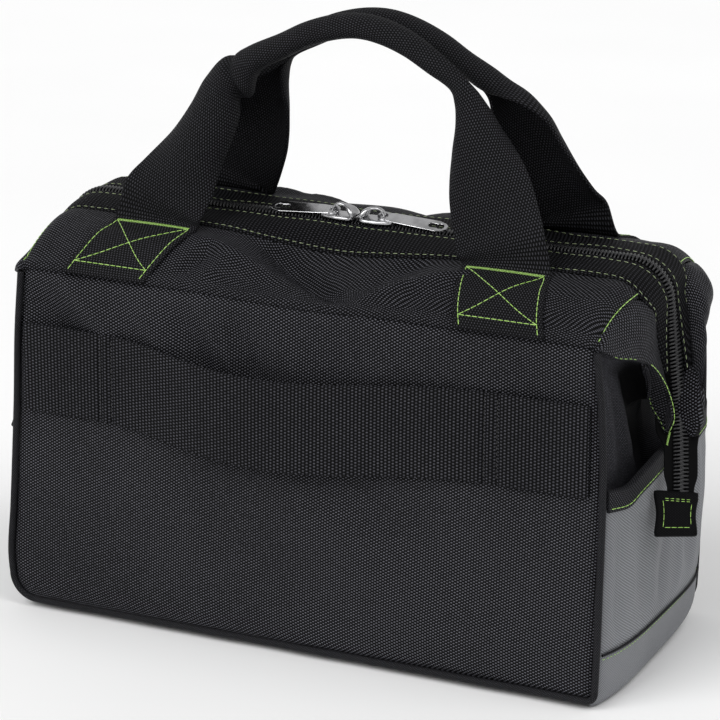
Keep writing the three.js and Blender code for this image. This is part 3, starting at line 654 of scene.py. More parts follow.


def grey(value, blue=CLOTH_TINT, green=1.0):
    return (value, value * green, value * blue, 1.0)


def woven(name, along, across, dark, light, relief, roughness, shine, low, high, ribs):
    """Plain weave: each cell is one thread passing over another, light where the warp is on top."""
    n = Nodes(name, roughness)
    u, v = n.cloth_place()
    warp = n.wave(u, along)
    over = n.math("MULTIPLY", warp, n.wave(v, across))
    rib = n.math("SUBTRACT", n.math("MULTIPLY", n.math("ABSOLUTE", warp), 2 * ribs), ribs)
    tone = n.math("ADD", rib, n.math("MULTIPLY", over, 1 - ribs))
    worn = n.ramp(n.noise(9.0), 0.3, 0.7, 1 - UNEVEN, 1 + UNEVEN)
    fleck = n.ramp(n.noise(900.0, 0.0), 0.25, 0.75, 0.7, 1.3)
    share = n.math("MULTIPLY", n.ramp(tone, low, high), n.math("MULTIPLY", worn, fleck))
    # Painted shade: the colour is darkened where the depth map is low, deep in the hollow under the wings'
    # hems
    if name == PAINTED_SHADE_CLOTH:
        depth = n.add("ShaderNodeUVMap", uv_map="depth").outputs[0]
        share = n.math("MULTIPLY", share, n.ramp(depth, 0.15, 0.95, 0.06))
    n.colour(share, grey(dark), grey(light))
    n.bump(n.math("POWER", n.math("ABSOLUTE", over), 0.6), relief)
    n.shader.inputs["Specular IOR Level"].default_value = shine
    return n.material


def twill(name, pitch, dark, light, relief, roughness):
    """Fine diagonal ribs, broken up by the threads across them."""
    n = Nodes(name, roughness)
    u, v = n.cloth_place()
    ribs = n.wave(n.math("ADD", u, n.math("MULTIPLY", v, 0.8)), pitch / 2)
    knots = n.wave(n.math("SUBTRACT", u, v), pitch * 0.45)
    height = n.math("ADD", ribs, n.math("MULTIPLY", knots, 0.35))
    n.shader.inputs["Specular IOR Level"].default_value = 0.3
    worn = n.ramp(n.noise(14.0), 0.3, 0.7, -0.12, 0.12)
    share = n.math("ADD", n.ramp(height, -1.1, 1.1), worn)
    n.colour(share, grey(dark, *TWILL_TINT), grey(light, *TWILL_TINT))
    n.bump(height, relief)
    return n.material


def plastic(name, colour, roughness):
    n = Nodes(name, roughness)
    dust = n.ramp(n.noise(700.0), 0.35, 0.75)
    n.colour(dust, grey(colour), grey(colour * 1.7))
    n.put(n.shader.inputs["Roughness"], n.ramp(n.noise(300.0), 0.3, 0.7, roughness * 0.8, roughness * 1.3))
    return n.material


def plated(name):
    n = Nodes(name, 0.16, metallic=1.0)
    n.colour(n.ramp(n.noise(120.0), 0.3, 0.7), grey(0.42, METAL_TINT), grey(0.66, METAL_TINT))
    n.put(n.shader.inputs["Roughness"], n.ramp(n.noise(500.0), 0.3, 0.75, 0.16, 0.24))
    n.bump(n.noise(260.0), 0.02, 0.1)
    return n.material


def thread_material(name, dark, light):
    n = Nodes(name, 0.5)
    twist = n.ramp(n.noise(1500.0, 0.0), 0.35, 0.65)
    n.colour(twist, dark, light)
    n.shader.inputs["Sheen Weight"].default_value = 0.3
    return n.material


# Woven cloths. Columns: size of a cell along and across, dark and light tone, relief, roughness, shine,
# where a thread's tone starts and ends, and share of ribs
WEAVES = {
    "ballistic": (1.55, 0.9, 0.0015, 0.13, 0.3, 0.5, 0.09, 0.12, 0.85, 0.0),
    # the same ballistic cloth, darker and less shiny on the top slopes: painted shade
    "top_ballistic_painted_shade": (1.55, 0.9, 0.0015, 0.1, 0.3, 0.5, 0.07, 0.12, 0.85, 0.0),
    "webbing": (1.6, 0.85, 0.002, 0.05, 0.35, 0.6, 0.1, 0.05, 0.9, 0.3),
    "band_webbing": (2.15, 0.91, 0.002, 0.077, 0.35, 0.6, 0.08, 0.1, 0.85, 0.5),
    "border_webbing": (2.15, 0.91, 0.002, 0.04, 0.35, 0.6, 0.05, 0.2, 0.95, 0.5),
    "binding": (1.1, 0.9, 0.002, 0.085, 0.25, 0.6, 0.1, 0.1, 0.85, 0.0),
    "tab_webbing": (0.9, 0.7, 0.0015, 0.013, 0.2, 0.6, 0.06, 0.05, 0.85, 0.0),
    "gusset": (0.85, 0.6, 0.002, 0.085, 0.15, 0.5, 0.14, 0.0, 0.85, 0.0),
    # the side panel's gusset cloth, less shiny so that its painted shade under the wings' hems can go dark
    "side": (0.85, 0.6, 0.001, 0.175, 0.15, 0.6, 0.05, 0.0, 0.85, 0.0),
    "piping": (0.85, 0.6, 0.002, 0.056, 0.15, 0.5, 0.1, 0.0, 0.85, 0.0),
    "zip_tape": (0.5, 0.35, 0.001, 0.003, 0.06, 0.6, 0.08, 0.0, 0.8, 0.0),
}
WOVEN = {name: woven(name, *values) for name, values in WEAVES.items()}
TWILL = twill("grey_twill", 1.65, 0.13, 0.27, 0.12, 0.55)
COIL = plastic("zip_coil", 0.008, 0.28)
NICKEL = plated("nickel")
LIME = thread_material("thread", (0.3, 0.56, 0.08, 1), (0.5, 0.8, 0.2, 1))
PALE = thread_material("pale_thread", (0.28, 0.36, 0.17, 1), (0.44, 0.52, 0.3, 1))
BLACK_THREAD = thread_material("black_thread", grey(0.004), grey(0.012))


# Form of the body
def edge_x(z, side):
    return table_at(PROFILE, 1 if side == LEFT else 2, z)


def corner_z(side, y):
    """Height where the lower corner's rounding starts."""
    return lerp(CORNER_Z[side][FRONT], CORNER_Z[side][BACK], (y + HALF_DEPTH) / (2 * HALF_DEPTH))


def mouth_lift(y):
    """How far the pocket's mouth is drawn up towards the middle, after a small dip near the front."""
    return MOUTH_LIFT * smooth(y, -SIDE_END, 0) - MOUTH_DIP * bell(y - MOUTH_DIP_Y, MOUTH_DIP_REACH)


def side_x(y, z, side):
    return lerp(table_at(PROFILE, 3, z), edge_x(z, side), (y / HALF_DEPTH) ** SIDE_POWER)


def front_y(x, z):
    across = np.maximum(0, 1 - (x / edge_x(SEAM_Z, RIGHT)) ** 2)
    return -HALF_DEPTH - FRONT_BULGE * across * np.sin(math.pi * z / SEAM_Z)


def recess(y, z):
    return RECESS * smooth(z, RECESS_FROM, RECESS_TO) * (1 - (y / HALF_DEPTH) ** 4)


def side_point(side, y, z, depth=0.0):
    x = side * (side_x(y, z, side) - depth)
    return np.stack(np.broadcast_arrays(x, y, z), -1)


def side_corner(side, y, angle, depth=0.0):
    start = corner_z(side, y)
    radius = start + LAYER - depth
    x = side_x(y, start, side) - start - LAYER + radius * np.cos(angle)
    return np.stack(np.broadcast_arrays(side * x, y, start - radius * np.sin(angle)), -1)


def outline(side, face, inset, top, straight_steps, round_steps):
    """A panel's outline on one side, from the seam down and round the corner: x and z."""
    start = CORNER_Z[side][face]
    z = lerp(top, start, steps(straight_steps))
    x = edge_x(z, side) - inset
    angle = steps(round_steps)[1:] * math.pi / 2
    middle, radius = edge_x(start, side) - (start - CORNER_DROP), start - CORNER_DROP - inset
    x = np.concatenate([x, middle + radius * np.cos(angle)])
    return x, np.concatenate([z, start - radius * np.sin(angle)])


# Dents and swells of a body panel, on x as seen from outside and on height: from, to, half width and rise
PANEL_FOLDS = (
    (-172, 192, -128, 150, 13, -4.0),
    (-150, 202, -112, 168, 9, 2.6),
    (-75, 192, -52, 150, 8, -3.6),
    (-100, 196, -78, 158, 8, 2.4),
    (-42, 192, -24, 152, 7, -2.8),
    (-20, 190, 10, 150, 10, 1.4),
    (60, 196, 40, 160, 12, 1.3),
    (120, 198, 150, 150, 11, -1.6),
    (-150, 40, -60, 12, 16, 0.9),
    (60, 14, 150, 40, 18, 0.9),
    (-40, 80, 60, 60, 30, 1.0),
)


# Where the folds fade out beside the piping: left, right and bottom
FOLDS_FADE = {"left": (-182, -165), "right": (-174, -158), "bottom": (3, 16)}


def body_panel(name, face):
    right_x, right_z = outline(RIGHT, face, PANEL_TUCK, SEAM_Z - 0.2, 60, 12)
    left_x, left_z = outline(LEFT, face, PANEL_TUCK, SEAM_Z - 0.2, 60, 12)
    t = steps(120)
    x = lerp(-left_x[:, None], right_x[:, None], t)
    z = lerp(left_z[:, None], right_z[:, None], t)
    swell = folds(x * -face, z, PANEL_FOLDS) + ripple(x, z, "panel", face)
    for way, (start, end) in zip((x, -x, z), FOLDS_FADE.values()):
        swell *= smooth(way, start, end)
    y = -face * (front_y(x, z) - swell)
    grid = np.stack([x, y, z], -1)
    grid = tuck(grid, grid_normals(grid), "first", "panel top")
    grid = tuck(grid, grid_normals(grid), "last left right", "panel")
    rests_on = f"piping_{FACE_NAMES[face]}"
    cloth(name, "ballistic", grid, CLOTH, WOVEN["ballistic"], FLAT["panel"], rests_on)


def tube(name, path, radius, sides, material, across):
    """A round cord along a path, with a seam for its weave."""
    count = len(path)
    ahead = unit(np.gradient(path, axis=0))
    across = np.broadcast_to(np.array(across, float), path.shape)
    up = unit(np.cross(ahead, across))
    angle = 2 * math.pi * np.arange(sides + 1) / sides
    ring = up[:, None] * np.cos(angle)[:, None] + across[:, None] * np.sin(angle)[:, None]
    grid = path[:, None] + ring * radius
    uv = np.stack(np.broadcast_arrays(lengths(path, 0)[:, None], angle * radius), -1).reshape(-1, 2)
    faces = quads(count, sides + 1, True).tolist()
    row = sides + 1
    faces += [list(range(sides)), [(count - 1) * row + k for k in range(sides)][::-1]]
    return make_object(f"{name}_cord", grid.reshape(-1, 3), faces, material, uv)


def piping(name, face):
    y = face * (HALF_DEPTH - PIPING_INSET)
    right = np.stack(outline(RIGHT, face, PIPING_INSET, SEAM_Z - PIPING_R, 50, 14), 1)
    left = np.stack(outline(LEFT, face, PIPING_INSET, SEAM_Z - PIPING_R, 50, 14), 1) * (-1, 1)
    floor = np.stack([lerp(left[-1, 0], right[-1, 0], steps(90)), np.full(91, left[-1, 1])], 1)[1:-1]
    line = np.concatenate([left, floor, right[::-1]])
    wobble = ripple(line[:, 0], line[:, 1], "piping", face)
    path = np.stack([line[:, 0], y + wobble, line[:, 1]], 1)
    place(tube(name, path, PIPING_SHOWN, 14, WOVEN["piping"], (0, 1, 0)), "gusset", name)


SIDE_Y = np.linspace(-SIDE_END, SIDE_END, 81)


def base(name):
    down = steps(10) * math.pi / 2
    y = SIDE_Y[::2, None]
    left, right = side_corner(LEFT, y, down, LAYER), side_corner(RIGHT, y, down[::-1], LAYER)
    floor = lerp(left[:, -1:], right[:, :1], steps(60)[1:-1][:, None])
    grid = np.concatenate([left, floor, right], 1)
    grid[..., 2] = np.maximum(grid[..., 2], BASE_LIFT * smooth(np.abs(y), BASE_FLAT, SIDE_END))
    cloth(name, "gusset", grid, CLOTH, WOVEN["gusset"], FLAT["base"], "floor")


# Folds of the pocket on y and height
POCKET_FOLDS = (
    (-2, 100, -8, 36, 5, -3.2),
    (12, 112, 16, 36, 5, 2.8),
    (26, 112, 34, 44, 5, -2.6),
    (40, 122, 44, 40, 6, 2.6),
    (-26, 104, -22, 40, 7, 1.8),
    (-44, 112, -38, 46, 6, -1.8),
    (56, 130, 60, 44, 7, 1.8),
    (-64, 112, -62, 36, 5, -2.2),
)


# Where the pocket's folds fade out: above the trim, below the mouth and beside the piping
POCKET_CALM = {
    "low": (BAND_TOP, BAND_TOP + 14),
    "high": (-POCKET_TOP - 20, -POCKET_TOP + 8),
    "ends": (0, 12),
}
POCKET_CALM_SHARE = 0.25  # what is left of them there


def side_cloth(name, side, low, high, rows, proud, thickness, material, slot, edges, flat):
    """Cloth on the bag's side between two edges, each a height and its share of the mouth's lift."""
    lift = mouth_lift(SIDE_Y)[:, None]
    bottom, top = (height + share * lift for height, share in (low, high))
    grid = side_point(side, SIDE_Y[:, None], lerp(bottom, top, steps(rows)), -proud)
    y, height = grid[..., 1], grid[..., 2]
    loose = smooth(height, *POCKET_CALM["low"]) * smooth(-height, *POCKET_CALM["high"])
    swell = folds(y, height, POCKET_FOLDS) + ripple(y, height, "pocket", side)
    swell = swell * lerp(POCKET_CALM_SHARE, 1, loose)
    grid[..., 0] += side * swell * smooth(SIDE_END - np.abs(y), *POCKET_CALM["ends"])
    if edges:
        grid = tuck(grid, grid_normals(grid), edges, "pocket")
    return cloth(name, slot, grid, thickness, material, flat, f"side_panel_{SIDE_NAMES[side]}")


def trim(name, side):
    """Thin black cord along the pocket's lower edge."""
    path = side_point(side, SIDE_Y, np.full(len(SIDE_Y), BAND_TOP + GAP), -TRIM_R * 0.4)
    place(tube(name, path, TRIM_R, 8, WOVEN["piping"], UP), "gusset")


def lower_band(name, side):
    heights = lerp(BAND_TOP, corner_z(side, SIDE_Y)[:, None], steps(12))
    upper = side_point(side, SIDE_Y[:, None], heights)
    lower = side_corner(side, SIDE_Y[:, None], steps(10)[None, 1:] * BAND_END_ANGLE)
    grid = np.concatenate([upper, lower], 1)
    grid = tuck(grid, grid_normals(grid), "left first last", "lower band")
    return cloth(name, "grey_twill", grid, CLOTH, TWILL, FLAT["lower band"], "base")


# Zip
# Columns of a station of the zip: its place, normal and direction across, its border's half width, and the x
# where the top panel meets its seam
PLACE, NORMAL, ACROSS, BORDER, SEAM = slice(0, 3), slice(3, 6), slice(6, 9), 9, 10
SIGNED = [0, 3, 6, 10]  # the columns that hold an x


def zip_stations():
    """One row for each station of the zip, from the left tab to the right one."""
    rows = []
    middle = np.array([ZIP_CORNER_X, 0, RIDGE_Z - ZIP_CORNER_R])

    def add(p, tangent, out, roll, border, seam):
        flat_out = unit(out - tangent * (out @ tangent))
        flat_across = unit(np.cross(tangent, flat_out))
        normal = flat_out * math.cos(roll) - flat_across * math.sin(roll)
        across = flat_across * math.cos(roll) + flat_out * math.sin(roll)
        rows.append(np.concatenate([p, normal, across, [border, seam]]))

    for x in ZIP_CORNER_X * TOP_SHARES:
        add(np.array([x, 0, RIDGE_Z]), -ACROSS_BAG, UP, 0, BORDER_HALF, x)
    for angle, border, seam in ZIP_CORNER:
        out = np.array([math.sin(angle), 0, math.cos(angle)])
        tangent = np.array([-math.cos(angle), 0, math.sin(angle)])
        add(middle + out * ZIP_CORNER_R, tangent, out, 0, border, seam)
    places = np.concatenate([[rows[-1][PLACE]], ZIP_SIDE[:, [1, 2, 0]]])
    places = np.concatenate([places, places[-1:]])
    for k, (roll, border) in enumerate(ZIP_SIDE[:, 3:]):
        tangent = unit(places[k] - places[k + 2])
        add(places[k + 1], tangent, ACROSS_BAG, roll, border, rows[-1][SEAM])
    right = np.array(rows)
    left = right[:0:-1].copy()
    clear = np.maximum(0, (left[:, 2] - ZIP_LEFT_FROM) / (RIDGE_Z - SEAM_Z))
    inset = ZIP_LEFT_IN * np.minimum(np.minimum(1, left[:, 0] / ZIP_CORNER_X), clear)
    left[:, SIGNED] *= -1
    left[:, 0] += inset
    return np.concatenate([left, right])


STATIONS = zip_stations()
ZIP_STEPS = 10
ZIP = refine(STATIONS, ZIP_STEPS)
ZIP[:, NORMAL] = unit(ZIP[:, NORMAL])
ZIP[:, ACROSS] = unit(ZIP[:, ACROSS])
CENTRE = len(STATIONS) // 2
CORNER_START = CENTRE + len(TOP_SHARES)
MITRE = {RIGHT: CORNER_START + MITRE_ROW, LEFT: 2 * CENTRE - CORNER_START - MITRE_ROW}
SIDE_START = CORNER_START + len(ZIP_CORNER)


def zip_rows(last_side_row):
    """The fine rows of the zip, with part of both side runs left off."""
    last = SIDE_START + last_side_row
    return ZIP[(2 * CENTRE - last) * ZIP_STEPS:last * ZIP_STEPS + 1]


def into_tabs(rows):
    """The zip's rows, carried on into the tabs at both ends."""
    first, last = rows[:1].copy(), rows[-1:].copy()
    first[:, PLACE] += unit(rows[0, PLACE] - rows[1, PLACE]) * TAB_LAP
    last[:, PLACE] += unit(rows[-1, PLACE] - rows[-2, PLACE]) * TAB_LAP
    return np.concatenate([first, rows, last])


def midway(x):
    return bell(x, SAG_REACH)


def zip_point(rows, across, height=0.0):
    across = np.broadcast_to(np.asarray(across, float), rows.shape[:-1])
    front = across < 0
    sag = np.where(front, RIDGE_SAG[FRONT], RIDGE_SAG[BACK]) * midway(rows[..., 0])
    fall = (np.where(front, RIDGE_FALL[FRONT], RIDGE_FALL[BACK]) + sag) * (across / BORDER_HALF) ** 2
    sideways = rows[..., ACROSS] * across[..., None]
    return rows[..., PLACE] + sideways + rows[..., NORMAL] * (height - fall)[..., None]


def ribbon(rows, start, end, columns, height):
    """A grid along the zip between two distances from it."""
    across = lerp(np.asarray(start)[..., None], np.asarray(end)[..., None], steps(columns))
    across = np.broadcast_to(across, (len(rows), columns + 1))
    return zip_point(np.repeat(rows[:, None], columns + 1, 1), across, height)


def zip_tape(name, face):
    """Tape that runs in under the border, and comes out wide at the zip's free ends."""
    rows = into_tabs(zip_rows(len(ZIP_SIDE) - 1))
    free = smooth(-rows[:, 2], -WING_END_Z - 2, -WING_END_Z + 8)
    outer = lerp(TAPE_HALF + TAPE_TUCK, FREE_TAPE_HALF, free)
    outer = outer - TAPE_GATHER * smooth(-rows[:, 2], -ZIP_SIDE[-2, 0], -ZIP_SIDE[-1, 0])
    inner = np.full(len(rows), GAP / 2)
    columns = 10
    under = smooth(lerp(inner[:, None], outer[:, None], steps(columns)), *TAPE_STEP)
    curl = TAPE_CURL * free[:, None] * steps(columns) ** 3
    grid = ribbon(rows, face * inner, face * outer, columns, curl - TAPE_DROP * under * (1 - free[:, None]))
    away = np.repeat(rows[:, None, NORMAL], columns + 1, 1)
    look = {"away": away, "turn": True}
    cloth(name, "zip_tape", grid, TAPE_THICK, WOVEN["zip_tape"], FLAT["tape"], "zip_chain", **look)


def zip_border(name, face):
    rows = zip_rows(BORDER_END_ROW)
    inner, outer = np.full(len(rows), BORDER_INNER), rows[:, BORDER] + BORDER_OVER
    columns = 16
    grid = ribbon(rows, face * inner, face * outer, columns, BORDER_PROUD)
    away = np.repeat(rows[:, None, NORMAL], columns + 1, 1)
    normals = grid_normals(grid, away)
    u, v = grid[..., 0], grid[..., 1] + grid[..., 2]
    grid = grid + normals * (ripple(u, v, "border", face) + BORDER_PUFF)[..., None]
    grid = tuck(grid, normals, "right", "border")
    rests_on, look = f"top_{FACE_NAMES[face]}", {"away": away, "turn": True}
    cloth(name, "webbing", grid, CLOTH, WOVEN["border_webbing"], FLAT["border"], rests_on, **look)
    return Surface(grid, normals)


COIL_PITCH = 2.05
COIL_WIRE = 0.62
COIL_END = 0.8  # from the chain's end to its first and last loop
COIL_SLANT = 0.35  # how far one loop leans along the zip
# One loop of a coil. Columns: distance from the middle to its own side, height, and thickness as a share of
# the wire's
COIL_LOOP = np.array([
    (3.9, -0.3, 0.9),
    (4.15, 0.5, 1),
    (3.5, 1.15, 1),
    (2.2, 1.45, 1),
    (0.8, 1.6, 1.1),
    (-0.55, 1.45, 1.2),
    (-0.85, 0.8, 1.1),
    (-0.4, 0.1, 0.8),
])


def zip_chain(name):
    """Two coils whose loops lock in the middle."""
    rows = into_tabs(zip_rows(len(ZIP_SIDE) - 1))
    way = lengths(rows[:, PLACE], 0)
    across, height, thick = COIL_LOOP.T
    coil = Thread()
    for face in (FRONT, BACK):
        at = np.arange(COIL_END + (face > 0) * COIL_PITCH / 2, way[-1] - COIL_END, COIL_PITCH)
        slant = np.linspace(-COIL_SLANT, COIL_SLANT, len(across)) * face
        spots = at[:, None] + slant
        read = np.stack([np.interp(spots, way, column) for column in rows.T], -1)
        read[..., NORMAL], read[..., ACROSS] = unit(read[..., NORMAL]), unit(read[..., ACROSS])
        offset = np.broadcast_to(face * across, spots.shape)
        path = zip_point(read, offset, np.broadcast_to(height, spots.shape))
        radii = np.broadcast_to(COIL_WIRE * thick, spots.shape)
        coil.add(*ring_tube(path, read[..., NORMAL], radii, np.zeros(spots.shape), 7))
    place(coil.make(f"{name}_coils", COIL), "zip_coil", name)


def zip_tab(name, side):
    """A square of webbing folded over the zip's end, pinched at its upper corners."""
    row = STATIONS[-1] if side == RIGHT else STATIONS[0]
    ahead = STATIONS[-2] if side == RIGHT else STATIONS[1]
    tangent = unit(ahead[PLACE] - row[PLACE])
    normal = unit(row[NORMAL] - tangent * (row[NORMAL] @ tangent))
    across = np.cross(tangent, normal)
    middle = row[PLACE] - tangent * (TAB / 2 + GAP) - row[ACROSS] * TAB_SHIFT
    half = TAB / 2 - TAB_ROUND - 0.2
    s = np.linspace(-1, 1, 25)
    a, b = np.meshgrid(s, s, indexing="ij")
    waist = 1 - TAB_WAIST * np.cos(a * math.pi * 0.9) + TAB_SPREAD * a
    bow = TAB_BOW * (1 - b**2) - TAB_PINCH * (a > 0.75) * np.abs(b) ** 3
    grid = (
        middle
        + tangent * (a * half + TAB_SKEW * b * (1 - a))[..., None]
        + across * (b * waist * half)[..., None]
        + normal * (TAB_THICK / 2 - TAB_BOW + bow)[..., None]
    )
    look = {"away": np.broadcast_to(normal, grid.shape), "reach": TAB_ROUND, "held": "folded"}
    thickness, material = TAB_THICK - 0.6, WOVEN["tab_webbing"]
    return cloth(name, "webbing", grid, thickness, material, FLAT["tab"], "zip_chain", **look)


# Mouth
def dome(y):
    return 1 - (np.abs(y) / HALF_DEPTH) ** DOME_POWER


def slope_point(rows, face, v):
    """Points of the top slope, from its seam with the panel up to the zip's border."""
    level = np.ones(len(rows))
    foot = np.stack([rows[:, SEAM], level * face * HALF_DEPTH, level * (SEAM_Z + GAP)], -1)
    head = zip_point(rows, face * (rows[:, BORDER] + GAP))
    p = lerp(foot[:, None], head[:, None], v[None, :, None])
    rise = (head - foot)[:, None, 2]
    p[..., 2] = foot[:, None, 2] + rise * dome(p[..., 1]) / dome(head[:, None, 1])
    p[..., 2] -= DENT[face] * midway(p[..., 0]) * np.sin(math.pi * v)
    return p


SEAM_LIP, SEAM_LIP_AT = 1.3, 3.0  # the slope swells out just above its seam

# Creases of the top slope, on x and distance up the slope. The slack cloth hangs in a V between the handles.
TOP_FOLDS = (
    (-80, 40, 2, 10, 6, 4.5),
    (-48, 52, 20, 12, 6, -7.0),
    (90, 40, 30, 10, 6, 5.0),
    (56, 54, 22, 20, 8, -4.0),
    (-66, 34, -76, 8, 4, -5.0),
    (-52, 28, -62, 6, 5, 2.4),
    (60, 30, 70, 8, 5, -1.6),
    (-150, 36, -140, 8, 9, 1.2),
    (138, 34, 152, 8, 8, -1.4),
)


def top_panel(name, face):
    rows = ZIP[MITRE[LEFT] * ZIP_STEPS:MITRE[RIGHT] * ZIP_STEPS + 1]
    v = steps(30)
    grid = slope_point(rows, face, v)
    normals = grid_normals(grid)
    x, up = grid[..., 0], lengths(grid, 1)
    calm = smooth(up, 0, 8) * smooth(up[:, -1:] - up, 0, 8)
    swell = folds(x * -face, up, TOP_FOLDS) + ripple(x, up, "slope", face)
    grid = grid + normals * (swell * calm)[..., None]
    lip = SEAM_LIP * bell(up - SEAM_LIP_AT, SEAM_LIP_AT)
    grid = tuck(grid + normals * lip[..., None], normals, "left", "slope foot")
    grid = tuck(grid, normals, "right first last", "slope")
    rests_on = f"zip_border_{FACE_NAMES[face]}"
    # The slopes take the darker copy of the ballistic cloth, as painted shade
    return cloth(name, "ballistic", grid, CLOTH, WOVEN["top_ballistic_painted_shade"], FLAT["top"], rests_on, turn=True)


def station(side, k):
    return STATIONS[k if side == RIGHT else 2 * CENTRE - k]


def wing_edge(side, face, t):
    """The fold along the wing's free edge, and the inner edge of its hem."""
    row = station(side, SIDE_START + WING_END_ROW)
    corner = np.array(WING_CORNER) * (side, face, 1)
    end = zip_point(row[None], face * (row[None, BORDER] + GAP))[0]
    share, rise, bow, width = (table_at(WING_EDGE, column, t) for column in range(1, 5))
    fold = lerp(corner, end, share[:, None])
    fold[:, 2] += rise
    fold[:, 0] += side * bow
    return fold, fold + unit(HEM_TURN) * (side, 1, 1) * width[:, None]


def wing_top(side, face):
    """The wing's upper edge, down the corner seam and along the border, and the way it faces there."""
    mitre = station(side, CORNER_START + MITRE_ROW)
    seam = slope_point(mitre[None], face, SLOPE_ROWS[:-1])[0]
    seam += np.array([side * MITRE_OUT[0], 0, MITRE_OUT[1]]) * GAP
    last = SIDE_START + WING_END_ROW
    run = np.array([station(side, k) for k in range(CORNER_START + MITRE_ROW + 1, last)])
    border = zip_point(run, face * (run[:, BORDER] + GAP))
    mitre_out = unit(np.array([side * 0.6, face * 0.5, 0.6]))
    outs = np.concatenate([np.repeat(mitre_out[None], len(seam), 0), run[:, NORMAL]])
    return np.concatenate([seam, border]), outs


# Creases of a wing, on distance along it and up from its lower edge
WING_FOLDS = (
    (12, 4, 26, 22, 6, -1.2),
    (34, 6, 46, 26, 7, 1.4),
    (58, 6, 70, 16, 6, -1.0),
)
HEM_COLUMNS = 8
HEM_CURL = 5  # how far the turned hem is drawn in behind the fold
EAR = {LEFT: 4, RIGHT: 0.5}  # swelling of the wing beside the bag's corner
EAR_AT, EAR_REACH = 0.1, 0.1


def wing(name, side, face):
    tops, outs = wing_top(side, face)
    fine = 8
    tops, outs = refine(tops, fine), unit(refine(outs, fine))
    t = steps(len(tops) - 1)
    fold, hem = wing_edge(side, face, t)
    v = steps(20)
    facing = unit(lerp(np.array([side, 0, 0]), outs[:, None], v[None, :, None]))
    bulge = WING_BULGE[face] * np.sin(math.pi * v)[None] * np.sin(math.pi * t)[:, None]
    ear = EAR[side] * bell(t - EAR_AT, EAR_REACH)
    bulge = bulge + ear[:, None] * np.sin(math.pi * (1 - v) / 2)
    outer = lerp(fold[:, None], tops[:, None], v[None, :, None]) + facing * bulge[..., None]
    normals = grid_normals(outer, facing)
    calm = smooth(v, 0, 0.2) * smooth(1 - v, 0, 0.2)
    swell = folds(lengths(outer, 0), lengths(outer, 1), WING_FOLDS) * calm
    outer = tuck(outer + normals * swell[..., None], normals, "right", "slope")
    across = steps(HEM_COLUMNS)[:-1]
    inner = lerp(hem[:, None], fold[:, None], across[None, :, None])
    curl = HEM_CURL * smooth(t, 0.5, 0.66) * smooth(1 - t, 0.04, 0.2)
    inner[..., 0] -= side * curl[:, None] * np.sin(math.pi * across)
    grid = np.concatenate([inner, outer], 1)
    away = np.concatenate([np.repeat(facing[:, :1], HEM_COLUMNS, 1), facing], 1)
    size = (lengths(grid, 0)[-1].mean() * MM, lengths(grid, 1)[:, -1].mean() * MM)
    rests_on, look = f"side_panel_{SIDE_NAMES[side]}", {"away": away, "reach": 0.8}
    return cloth(name, "ballistic", grid, CLOTH, WOVEN["ballistic"], size, rests_on, **look)


# Creases of the side panel, on depth and height, the same from the front and from the back
SIDE_FOLDS = (
    (-70, 190, -50, 120, 5, 2.4),
    (-60, 190, -38, 128, 5, -2.2),
    (-46, 172, -26, 122, 6, 2.2),
    (-30, 160, -14, 126, 6, -1.8),
    (-68, 160, -64, 116, 4, -1.6),
)
SIDE_CALM = {"ends": (2, 10), "rim": (1, 10), "pocket": (105, 125)}  # where the creases fade out
RIM_SHARE = 0.85  # the panel follows the wings' hems this far towards the zip
CAVITY, CAVITY_Y = 8, 17  # the panel is drawn in under the wings' hems
CAVITY_REACH = {"outwards": 18, "to the zip": 26}
CAVITY_FADE = (10, 52)  # and comes out again this far below them


def side_panel(name, side):
    t = RIM_SHARE * steps(40)
    edge = np.concatenate([wing_edge(side, FRONT, t)[1], wing_edge(side, BACK, t)[1][::-1]])
    top = np.interp(SIDE_Y, edge[:, 1], edge[:, 2])
    reach = np.interp(SIDE_Y, edge[:, 1], np.abs(edge[:, 0]))
    z = lerp(corner_z(side, SIDE_Y)[:, None] + GAP, top[:, None] - CLOTH, np.append(SIDE_ROWS, 1)[None])
    grid = side_point(side, SIDE_Y[:, None], z, LAYER + recess(SIDE_Y[:, None], z))
    rim = np.stack([side * np.minimum(reach - GAP, RIM_REACH), SIDE_Y, top], -1)
    grid = refine(np.concatenate([grid, rim[:, None]], 1), 8, 1)
    away = np.broadcast_to(np.array([side, 0, 0]), grid.shape)
    normals = grid_normals(grid, away)
    y, z = grid[..., 1], grid[..., 2]
    below_rim = z[:, -1:] - z
    swell = ripple(y, z * 0.4, "side", side) + folds(-np.abs(y), z, SIDE_FOLDS)
    for way, near in ((HALF_DEPTH - np.abs(y), "ends"), (below_rim, "rim"), (z, "pocket")):
        swell = swell * smooth(way, *SIDE_CALM[near])
    beyond = np.abs(y) - CAVITY_Y
    hollow = bell(beyond, np.where(beyond > 0, *CAVITY_REACH.values()))
    hollow = hollow * (1 - smooth(below_rim, *CAVITY_FADE))
    grid = grid + normals * (swell - CAVITY * hollow * smooth(below_rim, 0, 6))[..., None]
    # The same hollow is also painted dark in the cloth's colour: painted shade under the wings' hems
    look = {"away": away, "painted_shade": 1 - hollow, "held": "folded"}
    cloth(name, "gusset", grid, CLOTH, WOVEN["side"], FLAT["side"], "base", **look)


# Handles
HANDLE_FINE = 8


